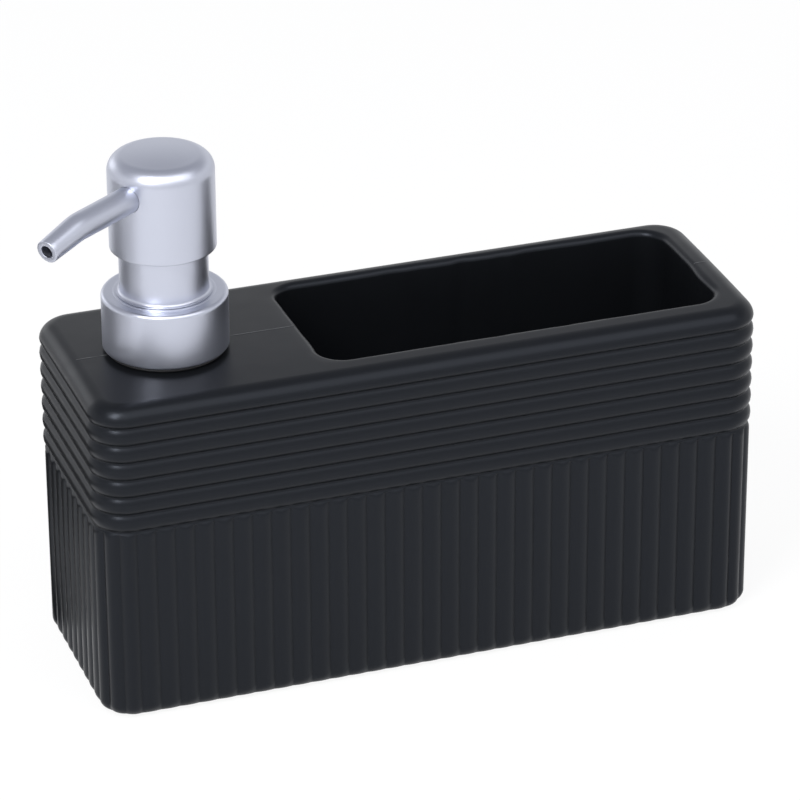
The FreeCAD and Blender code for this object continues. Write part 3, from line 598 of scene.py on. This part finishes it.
def bay_row(grow, height, wander=0.0):
    """The compartment's outline grown by an amount, at one height. The front wall leans in towards the
    floor, so the outline gets narrower on the way down and its middle moves back."""
    lean = np.array([0, FRONT_DRAFT / 2]) * (DECK - height) / (DECK - BAY_FLOOR)
    length = reach(BAY_WAY, BAY_HALF - lean + grow, BAY_CORNER + grow) + wander * rim_wander()
    return raised(BAY + lean + BAY_WAY * length[:, None], height)


def bay_rows():
    """Down the rim's quarter circle, the wall and the floor's quarter circle, then in to a pole."""
    lean = np.linspace(0, np.pi / 2, 9)
    rim = [bay_row(RIM * (1 - np.sin(a)), DECK - RIM * (1 - np.cos(a)), np.sin(a)) for a in lean]
    wall = [
        bay_row(0, height, (height - BAY_FLOOR) / (DECK - BAY_FLOOR))
        for height in np.linspace(DECK - RIM, BAY_FLOOR + FLOOR_ROUND, 6)[1:-1]
    ]
    floor = [
        bay_row(-FLOOR_ROUND * (1 - np.cos(a)), BAY_FLOOR + FLOOR_ROUND * (1 - np.sin(a))) for a in lean
    ]
    middle = raised(BAY + 0 * BAY_WAY, BAY_FLOOR)
    inward = [middle + (floor[-1] - middle) * share for share in (0.6, 0.25, 0)]
    return np.stack(rim + wall + floor + inward)


COMPARTMENT = bay_rows()
print("rows of the compartment:", len(COMPARTMENT))

# %% [markdown]
# ### The soap reservoir
# Under the mouth the block is hollow, and the hollow runs on under the compartment. It only shows through
# the mouth, so plain boxes are enough, reached by rays from the mouth's middle.

# %% Rows of the reservoir
TANK_TOP = 82 * MM
TANK_STEP = 31 * MM
TANK_FLOOR = 8 * MM
TANK_SIDE = 25 * MM
TANK_LEFT = -84 * MM
TANK_RIGHT = -32 * MM
TUNNEL_RIGHT = 84 * MM


def box_row(right, height):
    """Where the rays from the mouth's middle meet the four walls of a box, the nearest of which counts."""
    to_x = np.where(PUMP_WAY[:, 0] > 0, right - PUMP[0], TANK_LEFT - PUMP[0]) / PUMP_WAY[:, 0]
    to_y = TANK_SIDE / np.abs(PUMP_WAY[:, 1])
    return raised(PUMP + PUMP_WAY * np.minimum(to_x, to_y)[:, None], height)


MOUTH_LOOP = PUMP + MOUTH * PUMP_WAY
RESERVOIR = np.stack([
    raised(MOUTH_LOOP, DECK),
    raised(MOUTH_LOOP, TANK_TOP),
    box_row(TANK_RIGHT, TANK_TOP),
    box_row(TANK_RIGHT, TANK_STEP),
    box_row(TUNNEL_RIGHT, TANK_STEP),
    box_row(TUNNEL_RIGHT, TANK_FLOOR),
    raised(PUMP + 0 * PUMP_WAY, TANK_FLOOR),
])
print("rows of the reservoir:", len(RESERVOIR))

# %% [markdown]
# ### A crown on the deck
# Clay sags a little at the long edges as it dries, so the deck is not quite flat. One function of the point
# lowers every sheet alike, so the borders that the sheets share still meet.

# %% The block as one piece
CROWN = 0.6 * MM


def crowned(points):
    """Lowers a point by the crown times the square of its share of the half width. From the deck down to
    the first groove the fall fades to nothing."""
    share = np.clip((points[..., 2] - FIRST_GROOVE) / LIP, 0, 1)
    fall = CROWN * (points[..., 1] / HALF[1]) ** 2 * share
    return points - fall[..., None] * np.array([0, 0, 1])


BLOCK_SHEETS = [
    OUTSIDE,
    flat_ring(PUMP_BORDER, MOUTH_LOOP),
    flat_ring(BAY_BORDER, COMPARTMENT[0][:, :2]),
    COMPARTMENT,
    RESERVOIR,
]
piece_from(
    "ribbed_block", [sheet(crowned(points)) for points in BLOCK_SHEETS],
    GLAZE, "caddy", "caddy_body",
)

# %% [markdown]
# ### The foam pad
# A sheet of foam is pressed into the recess under the base and stands a little proud, so that the block
# doesn't scrape the worktop. It is a thin slab with soft edges, made of rounded rectangles from pole to
# pole.

# %% The pad
PAD_ROUND = 0.6 * MM


def pad_rows():
    """A quarter circle at the slab's lower edge and one at its upper edge: the inset and the height follow
    the angle from under to above."""
    tall = PAD_HIGH[2] - PAD_LOW[2]
    lean = np.linspace(-np.pi / 2, np.pi / 2, 9)
    height = np.sign(lean) * (tall / 2 - PAD_ROUND) + PAD_ROUND * np.sin(lean) + tall / 2 + PAD_LOW[2]
    inset = PAD_ROUND * (1 - np.cos(lean))
    corner = RECESS_CORNER - RECESS_GAP
    loops = [raised(outline(PAD_HIGH[:2] - i, corner - i), h) for i, h in zip(inset, height)]
    return np.stack([loops[0] * [0, 0, 1], *loops, loops[-1] * [0, 0, 1]])


PAD = piece_from("foam_pad", [sheet(pad_rows())], FOAM, "caddy", "base_pad")

# %% [markdown]
# ## Turned pieces
# The pump's caps, its sleeve and the neck are round about one axis. Blender's Screw modifier could spin a
# profile, but here the profile and the angle are the two parameters of a grid, which also lets a thread
# swell the radius. A profile is a list of arcs and corners, as a lathe tool would follow it.

# %% The lathe
TURN_COLUMNS = 192
GUARD = 0.3 * MM
# The first column of every turned piece faces the way that the spout points.
SPOUT_TURN = np.radians(215)
ROUND_ANGLE = SPOUT_TURN + np.arange(TURN_COLUMNS) / TURN_COLUMNS * 2 * np.pi


def arc(centre, radii, start, end, steps=9):
    """Points on a circle or an ellipse between two angles in degrees, as radius and height."""
    angle = np.radians(np.linspace(start, end, steps))
    return np.asarray(centre) + np.asarray(radii) * np.column_stack([np.cos(angle), np.sin(angle)])


def corners(*points):
    """Plain points of a profile."""
    return np.array(points, dtype=float)


def steadied(profile):
    """Adds a row near both ends of each long run, so that smooth shading stays even along the run."""
    step = np.diff(profile, axis=0)
    length = np.linalg.norm(step, axis=1, keepdims=True)
    long = length[:, 0] > 4 * GUARD
    near = (step / np.maximum(length, WELD))[long] * GUARD
    ends = np.stack([profile[:-1][long] + near, profile[1:][long] - near], axis=1).reshape(-1, 2)
    return np.insert(profile, np.repeat(np.flatnonzero(long) + 1, 2), ends, axis=0)


def turned(profile, swell=0.0):
    """Carries a profile about the pump's axis: x and y are the radius, plus any swell, along the angle."""
    radius = profile[:, :1] + swell
    flat = PUMP + radius[..., None] * np.column_stack([np.cos(ROUND_ANGLE), np.sin(ROUND_ANGLE)])
    height = np.broadcast_to(profile[:, 1:], flat.shape[:2])
    return np.concatenate([flat, height[..., None]], axis=-1)


print("columns round the pump:", TURN_COLUMNS)

# %% [markdown]
# ### The collar
# A thin cap is pressed over the black screw nut. Its top edge is drawn round, a low ring is stamped about
# the hole, and its lower edge is turned under.

# %% The collar cap
COLLAR = COLLAR_HIGH[0] - PUMP[0]
COLLAR_TOP = COLLAR_HIGH[2]
COLLAR_BASE = COLLAR_LOW[2]
COLLAR_WALL = 0.55 * MM
COLLAR_HOLE = 11.61 * MM
COLLAR_ROUND = 1.1 * MM
HEM = 0.25 * MM
RING = 13.0 * MM
RING_RISE = 0.12 * MM


def collar_profile():
    """From the hole over the stamped ring, the shoulder and the hem, and back up inside."""
    shoulder = COLLAR_TOP - RING_RISE
    roof = shoulder - COLLAR_WALL
    return np.vstack([
        arc((COLLAR_HOLE + HEM, COLLAR_TOP - HEM), HEM, 180, 90, 5),
        arc((RING - RING_RISE, COLLAR_TOP - RING_RISE / 2), RING_RISE / 2, 90, 0, 4),
        arc((RING + RING_RISE / 2, shoulder + RING_RISE / 2), RING_RISE / 2, 180, 270, 4),
        arc((COLLAR - COLLAR_ROUND, shoulder - COLLAR_ROUND), COLLAR_ROUND, 90, 0, 12),
        arc((COLLAR - HEM, COLLAR_BASE + HEM), HEM, 0, -180, 9),
        arc((COLLAR - COLLAR_ROUND, shoulder - COLLAR_ROUND), COLLAR_ROUND - COLLAR_WALL, 0, 90, 6),
        corners((COLLAR_HOLE, roof)),
    ])


piece_from(
    "collar_cap", [sheet(turned(steadied(collar_profile())), loop_rows=True)],
    METAL, "collar", "collar_shell",
)

# %% [markdown]
# ### The chimney sleeve
# A metal tube stands on the pump and guides the head. Its foot spreads in a small concave flare to a thin
# ring just above the collar.

# %% The sleeve
SLEEVE_LOW, SLEEVE_HIGH = span("chimney_sleeve")
SLEEVE = 11.31 * MM
SLEEVE_WALL = 0.45 * MM
FLARE = SLEEVE_HIGH[0] - PUMP[0]
FLARE_GAP = 0.05 * MM
FLARE_BASE = COLLAR_TOP + FLARE_GAP
FLARE_EDGE = 0.1 * MM


def sleeve_profile():
    """Up outside from below the collar, out along the ring, in by the concave flare, up to a soft end, and
    straight down inside."""
    bend = FLARE - SLEEVE - FLARE_EDGE / 2
    lap = SLEEVE_WALL / 2
    return np.vstack([
        corners((SLEEVE - SLEEVE_WALL, SLEEVE_LOW[2]), (SLEEVE, SLEEVE_LOW[2]), (SLEEVE, FLARE_BASE)),
        arc((FLARE - FLARE_EDGE, FLARE_BASE + FLARE_EDGE), FLARE_EDGE, -90, 90, 7),
        arc((SLEEVE + bend, FLARE_BASE + 2 * FLARE_EDGE + bend), bend, 270, 180, 9),
        arc((SLEEVE - lap, SLEEVE_HIGH[2] - lap), lap, 0, 180, 7),
    ])


piece_from(
    "chimney_tube", [sheet(turned(steadied(sleeve_profile())), loop_rows=True)],
    METAL, "pump_barrel", "chimney_sleeve",
)

# %% [markdown]
# ### The threaded neck
# A black plastic neck is bonded into the mouth, and the collar screws onto its thread. The thread is a
# ridge that climbs by one pitch in each turn, so the radius swells where the height less the climb is near
# a crest.

# %% The neck
NECK_LOW, NECK_HIGH = span("neck_insert")
NECK_RIM = NECK_HIGH[0] - PUMP[0]
FLANGE = 0.9 * MM
RIM_TOP = DECK + FLANGE
SKIRT = 14.4 * MM
NECK_BORE = 10.6 * MM
THREAD_ROOT = 12.8 * MM
THREAD_RISE = 0.95 * MM
THREAD_PITCH = 4.233 * MM
THREAD_CREST, THREAD_FOOT = 0.15, 0.275
THREAD_MARGIN, THREAD_LEAD = 0.6 * MM, 1.0 * MM
NECK_EDGE = 0.4 * MM


def neck_profile():
    """Up the skirt, round the flange, up the thread's root, over the neck's end and down the bore."""
    wall = np.linspace(RIM_TOP + NECK_EDGE, NECK_HIGH[2] - NECK_EDGE, 60)
    return np.vstack([
        corners((NECK_BORE, NECK_LOW[2]), (SKIRT, NECK_LOW[2])),
        corners((SKIRT, DECK), (NECK_RIM - NECK_EDGE, DECK)),
        arc((NECK_RIM - NECK_EDGE, RIM_TOP - NECK_EDGE), NECK_EDGE, -90, 90, 7),
        corners((THREAD_ROOT + NECK_EDGE, RIM_TOP)),
        np.column_stack([np.full(len(wall), THREAD_ROOT), wall]),
        arc((THREAD_ROOT - NECK_EDGE, NECK_HIGH[2] - NECK_EDGE), NECK_EDGE, 0, 90, 5)[1:],
        arc((NECK_BORE + NECK_EDGE, NECK_HIGH[2] - NECK_EDGE), NECK_EDGE, 90, 180, 5),
    ])


def thread_swell(profile):
    """A ridge with sloping sides where the height less the climb is near a crest, on the root wall alone.
    It is full up to the crest's share of a pitch from its middle, and nothing from the foot's share on. It
    starts beyond a margin from the flange and from the end, and is full after the lead."""
    height = profile[:, 1:]
    on_wall = np.abs(profile[:, :1] - THREAD_ROOT) < NECK_EDGE / 10
    turn = (height - RIM_TOP) / THREAD_PITCH - ROUND_ANGLE / (2 * np.pi)
    away = np.abs(turn - np.round(turn))
    ridge = np.clip((THREAD_FOOT - away) / (THREAD_FOOT - THREAD_CREST), 0, 1)
    from_end = np.minimum(height - RIM_TOP, NECK_HIGH[2] - height)
    ends = np.clip((from_end - THREAD_MARGIN) / THREAD_LEAD, 0, 1)
    return THREAD_RISE * ridge * ends * on_wall


NECK_LINE = neck_profile()
piece_from(
    "threaded_neck", [sheet(turned(NECK_LINE, thread_swell(NECK_LINE)), loop_rows=True)],
    BLACK_PLASTIC, "caddy", "neck_insert",
)

# %% [markdown]
# ## The head
# The head is a deep cap with a barely domed crown, and the spout passes through a hole in its wall. A
# boolean would leave ragged faces on the smooth wall. Instead a patch of the grid is left out round the
# hole, and a ring of columns fills it, from the patch's border to the hole's circle, all on the wall's
# cylinder.

# %% The head's profile
HEAD_LOW, HEAD_HIGH = span("head_shell")
HEAD = HEAD_HIGH[0] - PUMP[0]
HEAD_TOP = HEAD_HIGH[2]
HEAD_BASE = HEAD_LOW[2]
HEAD_WALL = 0.7 * MM
HEAD_ROUND = 4.1 * MM
HEAD_HEM = 0.1 * MM
DOME = 0.45 * MM
ROOF_RELIEF = 0.04 * MM
SPOUT_HEIGHT = 134.4 * MM
HOLE = 3.52 * MM
PATCH_ROWS = 11
PATCH_SIDE = 16
PATCH_TOP = HEAD_TOP - DOME - HEAD_ROUND
PATCH_BASE = 2 * SPOUT_HEIGHT - PATCH_TOP


def head_profile():
    """From the crown's pole over the rounding, down the wall and its hem, and up inside to a second pole.
    Also gives the rows at which the patch starts on the outer wall and on the inner one."""
    bend = HEAD - HEAD_ROUND
    radius = np.linspace(0, bend, 9)[:-1]
    crown = np.column_stack([radius, HEAD_TOP - DOME * (radius / bend) ** 2])
    patch = np.linspace(PATCH_TOP, PATCH_BASE, PATCH_ROWS)
    hem = HEAD_WALL / 2
    guard = HEAD_BASE + 4 * HEAD_HEM
    outside = np.vstack([crown, arc((bend, PATCH_TOP), HEAD_ROUND, 90, 0, 15)[:-1]])
    wall = np.column_stack([np.full(PATCH_ROWS, HEAD), patch])
    turn = np.vstack([
        corners((HEAD, guard)),
        arc((HEAD - hem, HEAD_BASE + HEAD_HEM), (hem, HEAD_HEM), 0, -180, 9),
        corners((HEAD - HEAD_WALL, guard)),
    ])
    inner_wall = np.column_stack([np.full(PATCH_ROWS, HEAD - HEAD_WALL), patch[::-1]])
    roof = HEAD_TOP - HEAD_WALL + ROOF_RELIEF
    radii = (HEAD_ROUND - HEAD_WALL, roof - PATCH_TOP)
    inside = np.vstack([arc((bend, PATCH_TOP), radii, 0, 90, 9)[1:], corners((0, roof))])
    first = len(outside)
    second = first + PATCH_ROWS + len(turn)
    return np.vstack([outside, wall, turn, inner_wall, inside]), first, second


HEAD_LINE, OUTER_ROW, INNER_ROW = head_profile()
HEAD_GRID = turned(HEAD_LINE)
print("rows of the head:", len(HEAD_LINE))


# %% The hole for the spout
def patch_border(first_row):
    """The border of the left-out patch: the grid's own points, once round, as seen from outside."""
    row = first_row + np.arange(PATCH_ROWS)
    column = np.arange(-PATCH_SIDE, PATCH_SIDE + 1) % TURN_COLUMNS
    return np.vstack([
        HEAD_GRID[row[0], column],
        HEAD_GRID[row[1:], column[-1]],
        HEAD_GRID[row[-1], column[-2::-1]],
        HEAD_GRID[row[-2:0:-1], column[0]],
    ])


SPOUT_WAY = np.array([np.cos(SPOUT_TURN), np.sin(SPOUT_TURN)])
SPOUT_SIDE = np.array([-SPOUT_WAY[1], SPOUT_WAY[0]])


def hole_ring(border, radius):
    """Columns from the border to the hole's circle. They run straight as seen along the spout, and each
    point is pushed out along the spout to the cylinder: its way is the root of the radius squared less the
    side squared."""
    side = (border[:, :2] - PUMP) @ SPOUT_SIDE
    rise = border[:, 2] - SPOUT_HEIGHT
    seen = np.column_stack([side, rise])
    share = np.linspace(0, 1, 6)[:, None, None]
    seen = seen + (HOLE * seen / np.linalg.norm(seen, axis=1, keepdims=True) - seen) * share
    way = np.sqrt(radius**2 - seen[..., 0] ** 2)
    flat = PUMP + way[..., None] * SPOUT_WAY + seen[..., :1] * SPOUT_SIDE
    return np.concatenate([flat, SPOUT_HEIGHT + seen[..., 1:]], axis=-1)


def head_sheets():
    """The cap's grid without its two patches, the ring in each patch, and the hole's edge between them."""
    keep = np.ones((len(HEAD_LINE) - 1, TURN_COLUMNS), dtype=bool)
    column = np.arange(-PATCH_SIDE, PATCH_SIDE) % TURN_COLUMNS
    for row in (OUTER_ROW, INNER_ROW):
        keep[row : row + PATCH_ROWS - 1, column] = False
    outer = hole_ring(patch_border(OUTER_ROW), HEAD)
    inner = hole_ring(patch_border(INNER_ROW)[::-1], HEAD - HEAD_WALL)
    start = np.argmin(np.linalg.norm(inner[-1] - outer[-1][0], axis=1))
    edge = np.stack([outer[-1], np.roll(inner[-1], -start, axis=0)])
    return [sheet(HEAD_GRID, keep=keep), sheet(outer), sheet(inner), sheet(edge)]


piece_from("head_cap", head_sheets(), METAL, "head", "head_shell")

# %% [markdown]
# ## The spout
# The spout is a drawn tube that runs level out of the head, bends down a little and narrows to its mouth.
# It is a profile carried along a path: the profile gives the radius at each run along the tube, outside and
# then back along the bore, and the path gives the middle and the tilt at that run.

# %% The spout's path
SPOUT_ROOT = 9 * MM
STRAIGHT = 31.5 * MM
BEND = 16 * MM
DROOP = np.radians(11)
REACH = 44.5 * MM
SPOUT = 3.45 * MM
TIP = 3.0 * MM
BORE = 1.7 * MM
LIP_ROUND = 0.2 * MM
BEND_END = STRAIGHT + BEND * DROOP
SPOUT_END = BEND_END + (REACH - STRAIGHT - BEND * np.sin(DROOP)) / np.cos(DROOP)
SPOUT_COLUMNS = 64


def spout_path(run):
    """Way out, height and tilt at a run along the tube: a straight, a circular bend, and a straight."""
    tilt = np.clip((run - STRAIGHT) / BEND, 0, DROOP)
    rest = np.maximum(run - BEND_END, 0)
    way = np.minimum(run, STRAIGHT) + BEND * np.sin(tilt) + rest * np.cos(DROOP)
    height = SPOUT_HEIGHT - BEND * (1 - np.cos(tilt)) - rest * np.sin(DROOP)
    return way, height, tilt


def spout_profile():
    """Run and radius: along the outside, which narrows from the bend to the tip, round the lip, across the
    flat mouth and its softened edge, and back along the bore."""
    run = np.concatenate([
        np.linspace(SPOUT_ROOT, STRAIGHT, 12),
        np.linspace(STRAIGHT, BEND_END, 12)[1:],
        np.linspace(BEND_END, SPOUT_END - LIP_ROUND, 8)[1:],
    ])
    share = np.clip((run - STRAIGHT) / (SPOUT_END - STRAIGHT), 0, 1)
    outside = np.column_stack([run, SPOUT + (TIP - SPOUT) * share])
    lip = arc((SPOUT_END - LIP_ROUND, TIP - LIP_ROUND), LIP_ROUND, 90, 0, 7)[1:]
    edge = arc((SPOUT_END - LIP_ROUND / 2, BORE + LIP_ROUND / 2), LIP_ROUND / 2, 0, -90, 5)
    back = np.linspace(SPOUT_END - LIP_ROUND, SPOUT_ROOT, 24)
    return np.vstack([outside, lip, edge, np.column_stack([back, np.full(len(back), BORE)])])


def spout_surface():
    """Each profile point is carried round the tube: its radius along the side, and along the tilted up."""
    run, radius = spout_profile().T
    way, height, tilt = (part[:, None] for part in spout_path(run))
    angle = np.arange(SPOUT_COLUMNS) / SPOUT_COLUMNS * 2 * np.pi
    side = radius[:, None] * np.cos(angle)
    rise = radius[:, None] * np.sin(angle)
    out = way + rise * np.sin(tilt)
    flat = PUMP + out[..., None] * SPOUT_WAY + side[..., None] * SPOUT_SIDE
    return np.concatenate([flat, (height + rise * np.cos(tilt))[..., None]], axis=-1)


piece_from("spout_tube", [sheet(spout_surface(), loop_rows=True)], METAL, "head", "spout")

# %% [markdown]
# ## The return spring
# Inside the pump, pressing the head squeezes a spring between the barrel's floor and the piston's plug. A
# rigid solid would be cut by the plug, so a coil of the same size stands in for it.

# %% The coil
SPRING_LOW, SPRING_HIGH = span("return_spring")
WIRE_RADIUS = 0.45 * MM
COIL_RADIUS = (SPRING_HIGH[0] - SPRING_LOW[0]) / 2 - WIRE_RADIUS
SPRING_LENGTH = SPRING_HIGH[2] - SPRING_LOW[2]
COIL_TURNS = 8
COIL_STEPS = 40
WIRE_COLUMNS = 12


def coil_surface():
    """A wire carried up a helix: its middle turns evenly as it rises, and its two ends close in a point."""
    share = np.linspace(0, 1, COIL_TURNS * COIL_STEPS + 1)[:, None]
    share = np.concatenate([share[:1], share, share[-1:]])
    thick = np.full_like(share, WIRE_RADIUS)
    thick[[0, -1]] = 0
    turn = share * COIL_TURNS * 2 * np.pi
    angle = np.arange(WIRE_COLUMNS) / WIRE_COLUMNS * 2 * np.pi
    out = COIL_RADIUS + thick * np.cos(angle)
    height = SPRING_LOW[2] + WIRE_RADIUS + share * (SPRING_LENGTH - 2 * WIRE_RADIUS) + thick * np.sin(angle)
    return np.stack([PUMP[0] + out * np.cos(turn), PUMP[1] + out * np.sin(turn), height], axis=-1)


COIL = piece_from(
    "coil_spring", [sheet(coil_surface())], WIRE, "pump_barrel", "return_spring"
)
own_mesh(COIL)

# %% [markdown]
# ## The studio
# The object stands on a plain white floor, and far off the studio's walls are white too. Part of the
# floor's white is its own, and the rest is lit, so the object keeps a soft shadow. A broad lamp from the
# front lights the upper sides of the beads, a smaller one at the left draws the highlights at the block's
# front left corner and on the head, and a weak one from behind lines the left end. A dark card at the left,
# which only mirrors see, is painted shade: it darkens what the metal and the block's left end mirror of
# the floor there.

# %% The camera
CAMERA_PLACE = np.array([-337.0, -968.7, 585.0]) * MM
CAMERA_TARGET = np.array([0.46, 0, 62.81]) * MM
CAMERA_ROLL = np.radians(-0.26)
FOCAL_PIXELS = 4424.58
IMAGE_PIXELS = 800
SENSOR = 36.0
FAR_CLIP = 20.0


def set_camera():
    """A long lens that looks at the target, with a slight roll about its own axis."""
    data = bpy.data.cameras.new("view")
    data.sensor_width = SENSOR
    data.sensor_fit = "HORIZONTAL"
    data.lens = FOCAL_PIXELS / IMAGE_PIXELS * SENSOR
    data.clip_end = FAR_CLIP
    camera = bpy.data.objects.new("view", data)
    bpy.context.scene.collection.objects.link(camera)
    look = Vector(CAMERA_TARGET - CAMERA_PLACE)
    turn = look.to_track_quat("-Z", "Y").to_matrix().to_4x4() @ Matrix.Rotation(CAMERA_ROLL, 4, "Z")
    camera.matrix_world = Matrix.Translation(CAMERA_PLACE) @ turn
    bpy.context.scene.camera = camera
    return camera


CAMERA = set_camera()
print("lens in mm:", round(CAMERA.data.lens, 1))

# %% The floor and the far background
WHITE_OF_RAY = {"Is Camera Ray": 0.9, "Is Glossy Ray": 0.4, "Is Transmission Ray": 0.4}
FLOOR_HALF = 6.0
FLOOR_COLOUR = (0.9, 0.9, 0.9)


def own_white(material):
    """The share of the floor's white that is its own: one value for the camera, and a smaller one in
    mirrors and through glass, where the lit floor with its shadow makes up the rest. The largest counts."""
    path = add_node(material, "ShaderNodeLightPath")
    share = None
    for kind, white in WHITE_OF_RAY.items():
        scaled = add_node(material, "ShaderNodeMath", operation="MULTIPLY")
        scaled.inputs[1].default_value = white
        join(material, path.outputs[kind], scaled.inputs[0])
        if share is None:
            share = scaled.outputs[0]
            continue
        larger = add_node(material, "ShaderNodeMath", operation="MAXIMUM")
        join(material, share, larger.inputs[0])
        join(material, scaled.outputs[0], larger.inputs[1])
        share = larger.outputs[0]
    return share


def flat_mesh(name, corner_points, height, material):
    """One level face through the given corners."""
    mesh = bpy.data.meshes.new(name)
    mesh.from_pydata([(*point, height) for point in corner_points], [], [range(len(corner_points))])
    mesh.materials.append(material)
    return mesh


def make_floor():
    """A wide white sheet at the height that the object stands on. Part of its white is its own, for rays
    that see it directly, and the rest is lit, which keeps the object's shadow."""
    material, shader = new_finish("white_floor", FLOOR_COLOUR, roughness=0.9)
    shader.inputs["Specular IOR Level"].default_value = 0
    glow = add_node(material, "ShaderNodeEmission")
    mix = add_node(material, "ShaderNodeMixShader")
    join(material, own_white(material), mix.inputs["Fac"])
    join(material, shader.outputs["BSDF"], mix.inputs[1])
    join(material, glow.outputs["Emission"], mix.inputs[2])
    join(material, mix.outputs["Shader"], material.node_tree.nodes["Material Output"].inputs["Surface"])
    signs = np.array([(-1, -1), (1, -1), (1, 1), (-1, 1)])
    floor = bpy.data.objects.new("floor", flat_mesh("floor", FLOOR_HALF * signs, 0, material))
    bpy.context.scene.collection.objects.link(floor)


# The walls' height is the sine of the elevation at which they are seen.
WALL_HEIGHTS = (0.40, 0.51)
WALL_COLOURS = ((0.97, 0.98, 1.0), (0.48, 0.49, 0.53))


def make_sky():
    """A studio's far walls: white up from the horizon, where a camera may see them, and dimmer above."""
    world = bpy.data.worlds.new("studio")
    bpy.context.scene.world = world
    world.use_nodes = True
    place = add_node(world, "ShaderNodeTexCoord")
    parts = add_node(world, "ShaderNodeSeparateXYZ")
    join(world, place.outputs["Generated"], parts.inputs["Vector"])
    ramp = add_node(world, "ShaderNodeValToRGB")
    for stop, height, colour in zip(ramp.color_ramp.elements, WALL_HEIGHTS, WALL_COLOURS):
        stop.position = height
        stop.color = (*colour, 1)
    join(world, parts.outputs["Z"], ramp.inputs["Fac"])
    join(world, ramp.outputs["Color"], world.node_tree.nodes["Background"].inputs["Color"])


SHADE_CARD_CORNERS = [
    (-0.35, -0.05), (-0.26, -0.05), (-0.26, 0.06), (-0.13, 0.06),
    (-0.105, 0.02), (-0.093, 0.02), (-0.093, 0.22), (-0.35, 0.22),
]
SHADE_CARD_HEIGHT = 0.4 * MM
# Painted shade: the card's dark colour stands in for shade on the floor at the left, as mirrors see it.
SHADE_CARD_COLOUR = (0.02, 0.02, 0.02)


def make_shade_card():
    """A dark card on the floor at the left, out of the camera's sight, that only mirrors show: painted
    shade in what they mirror of the floor there.
    """
    material, _ = new_finish("painted_shade_card", SHADE_CARD_COLOUR, roughness=0.9)
    shade_card = bpy.data.objects.new("shade_card", flat_mesh("shade_card", SHADE_CARD_CORNERS, SHADE_CARD_HEIGHT, material))
    bpy.context.scene.collection.objects.link(shade_card)
    shade_card.visible_camera = False
    shade_card.visible_diffuse = False
    shade_card.visible_shadow = False


make_floor()
make_sky()
make_shade_card()
print("floor, background and card made")


# %% The lamps
def add_softbox(name, azimuth, elevation, distance, width, depth, power):
    """A rectangular lamp that faces the object, at an azimuth from the front towards the right."""
    turn, lift = np.radians([azimuth, elevation])
    way = np.array([np.sin(turn) * np.cos(lift), -np.cos(turn) * np.cos(lift), np.sin(lift)])
    data = bpy.data.lights.new(name, "AREA")
    data.shape = "RECTANGLE"
    data.size = width
    data.size_y = depth
    data.energy = power
    lamp = bpy.data.objects.new(name, data)
    bpy.context.scene.collection.objects.link(lamp)
    lamp.location = Vector(CAMERA_TARGET + way * distance)
    lamp.rotation_euler = Vector(way).to_track_quat("Z", "Y").to_euler()


add_softbox("key", azimuth=-48, elevation=46, distance=1.0, width=0.3, depth=0.5, power=7.2)
add_softbox("rim", azimuth=-152, elevation=16, distance=0.9, width=0.35, depth=0.35, power=0.4)
add_softbox("front", azimuth=15, elevation=53, distance=1.1, width=1.3, depth=0.8, power=6)
bpy.context.scene.view_settings.view_transform = "Standard"
print("lamps:", [item.name for item in bpy.data.lights])
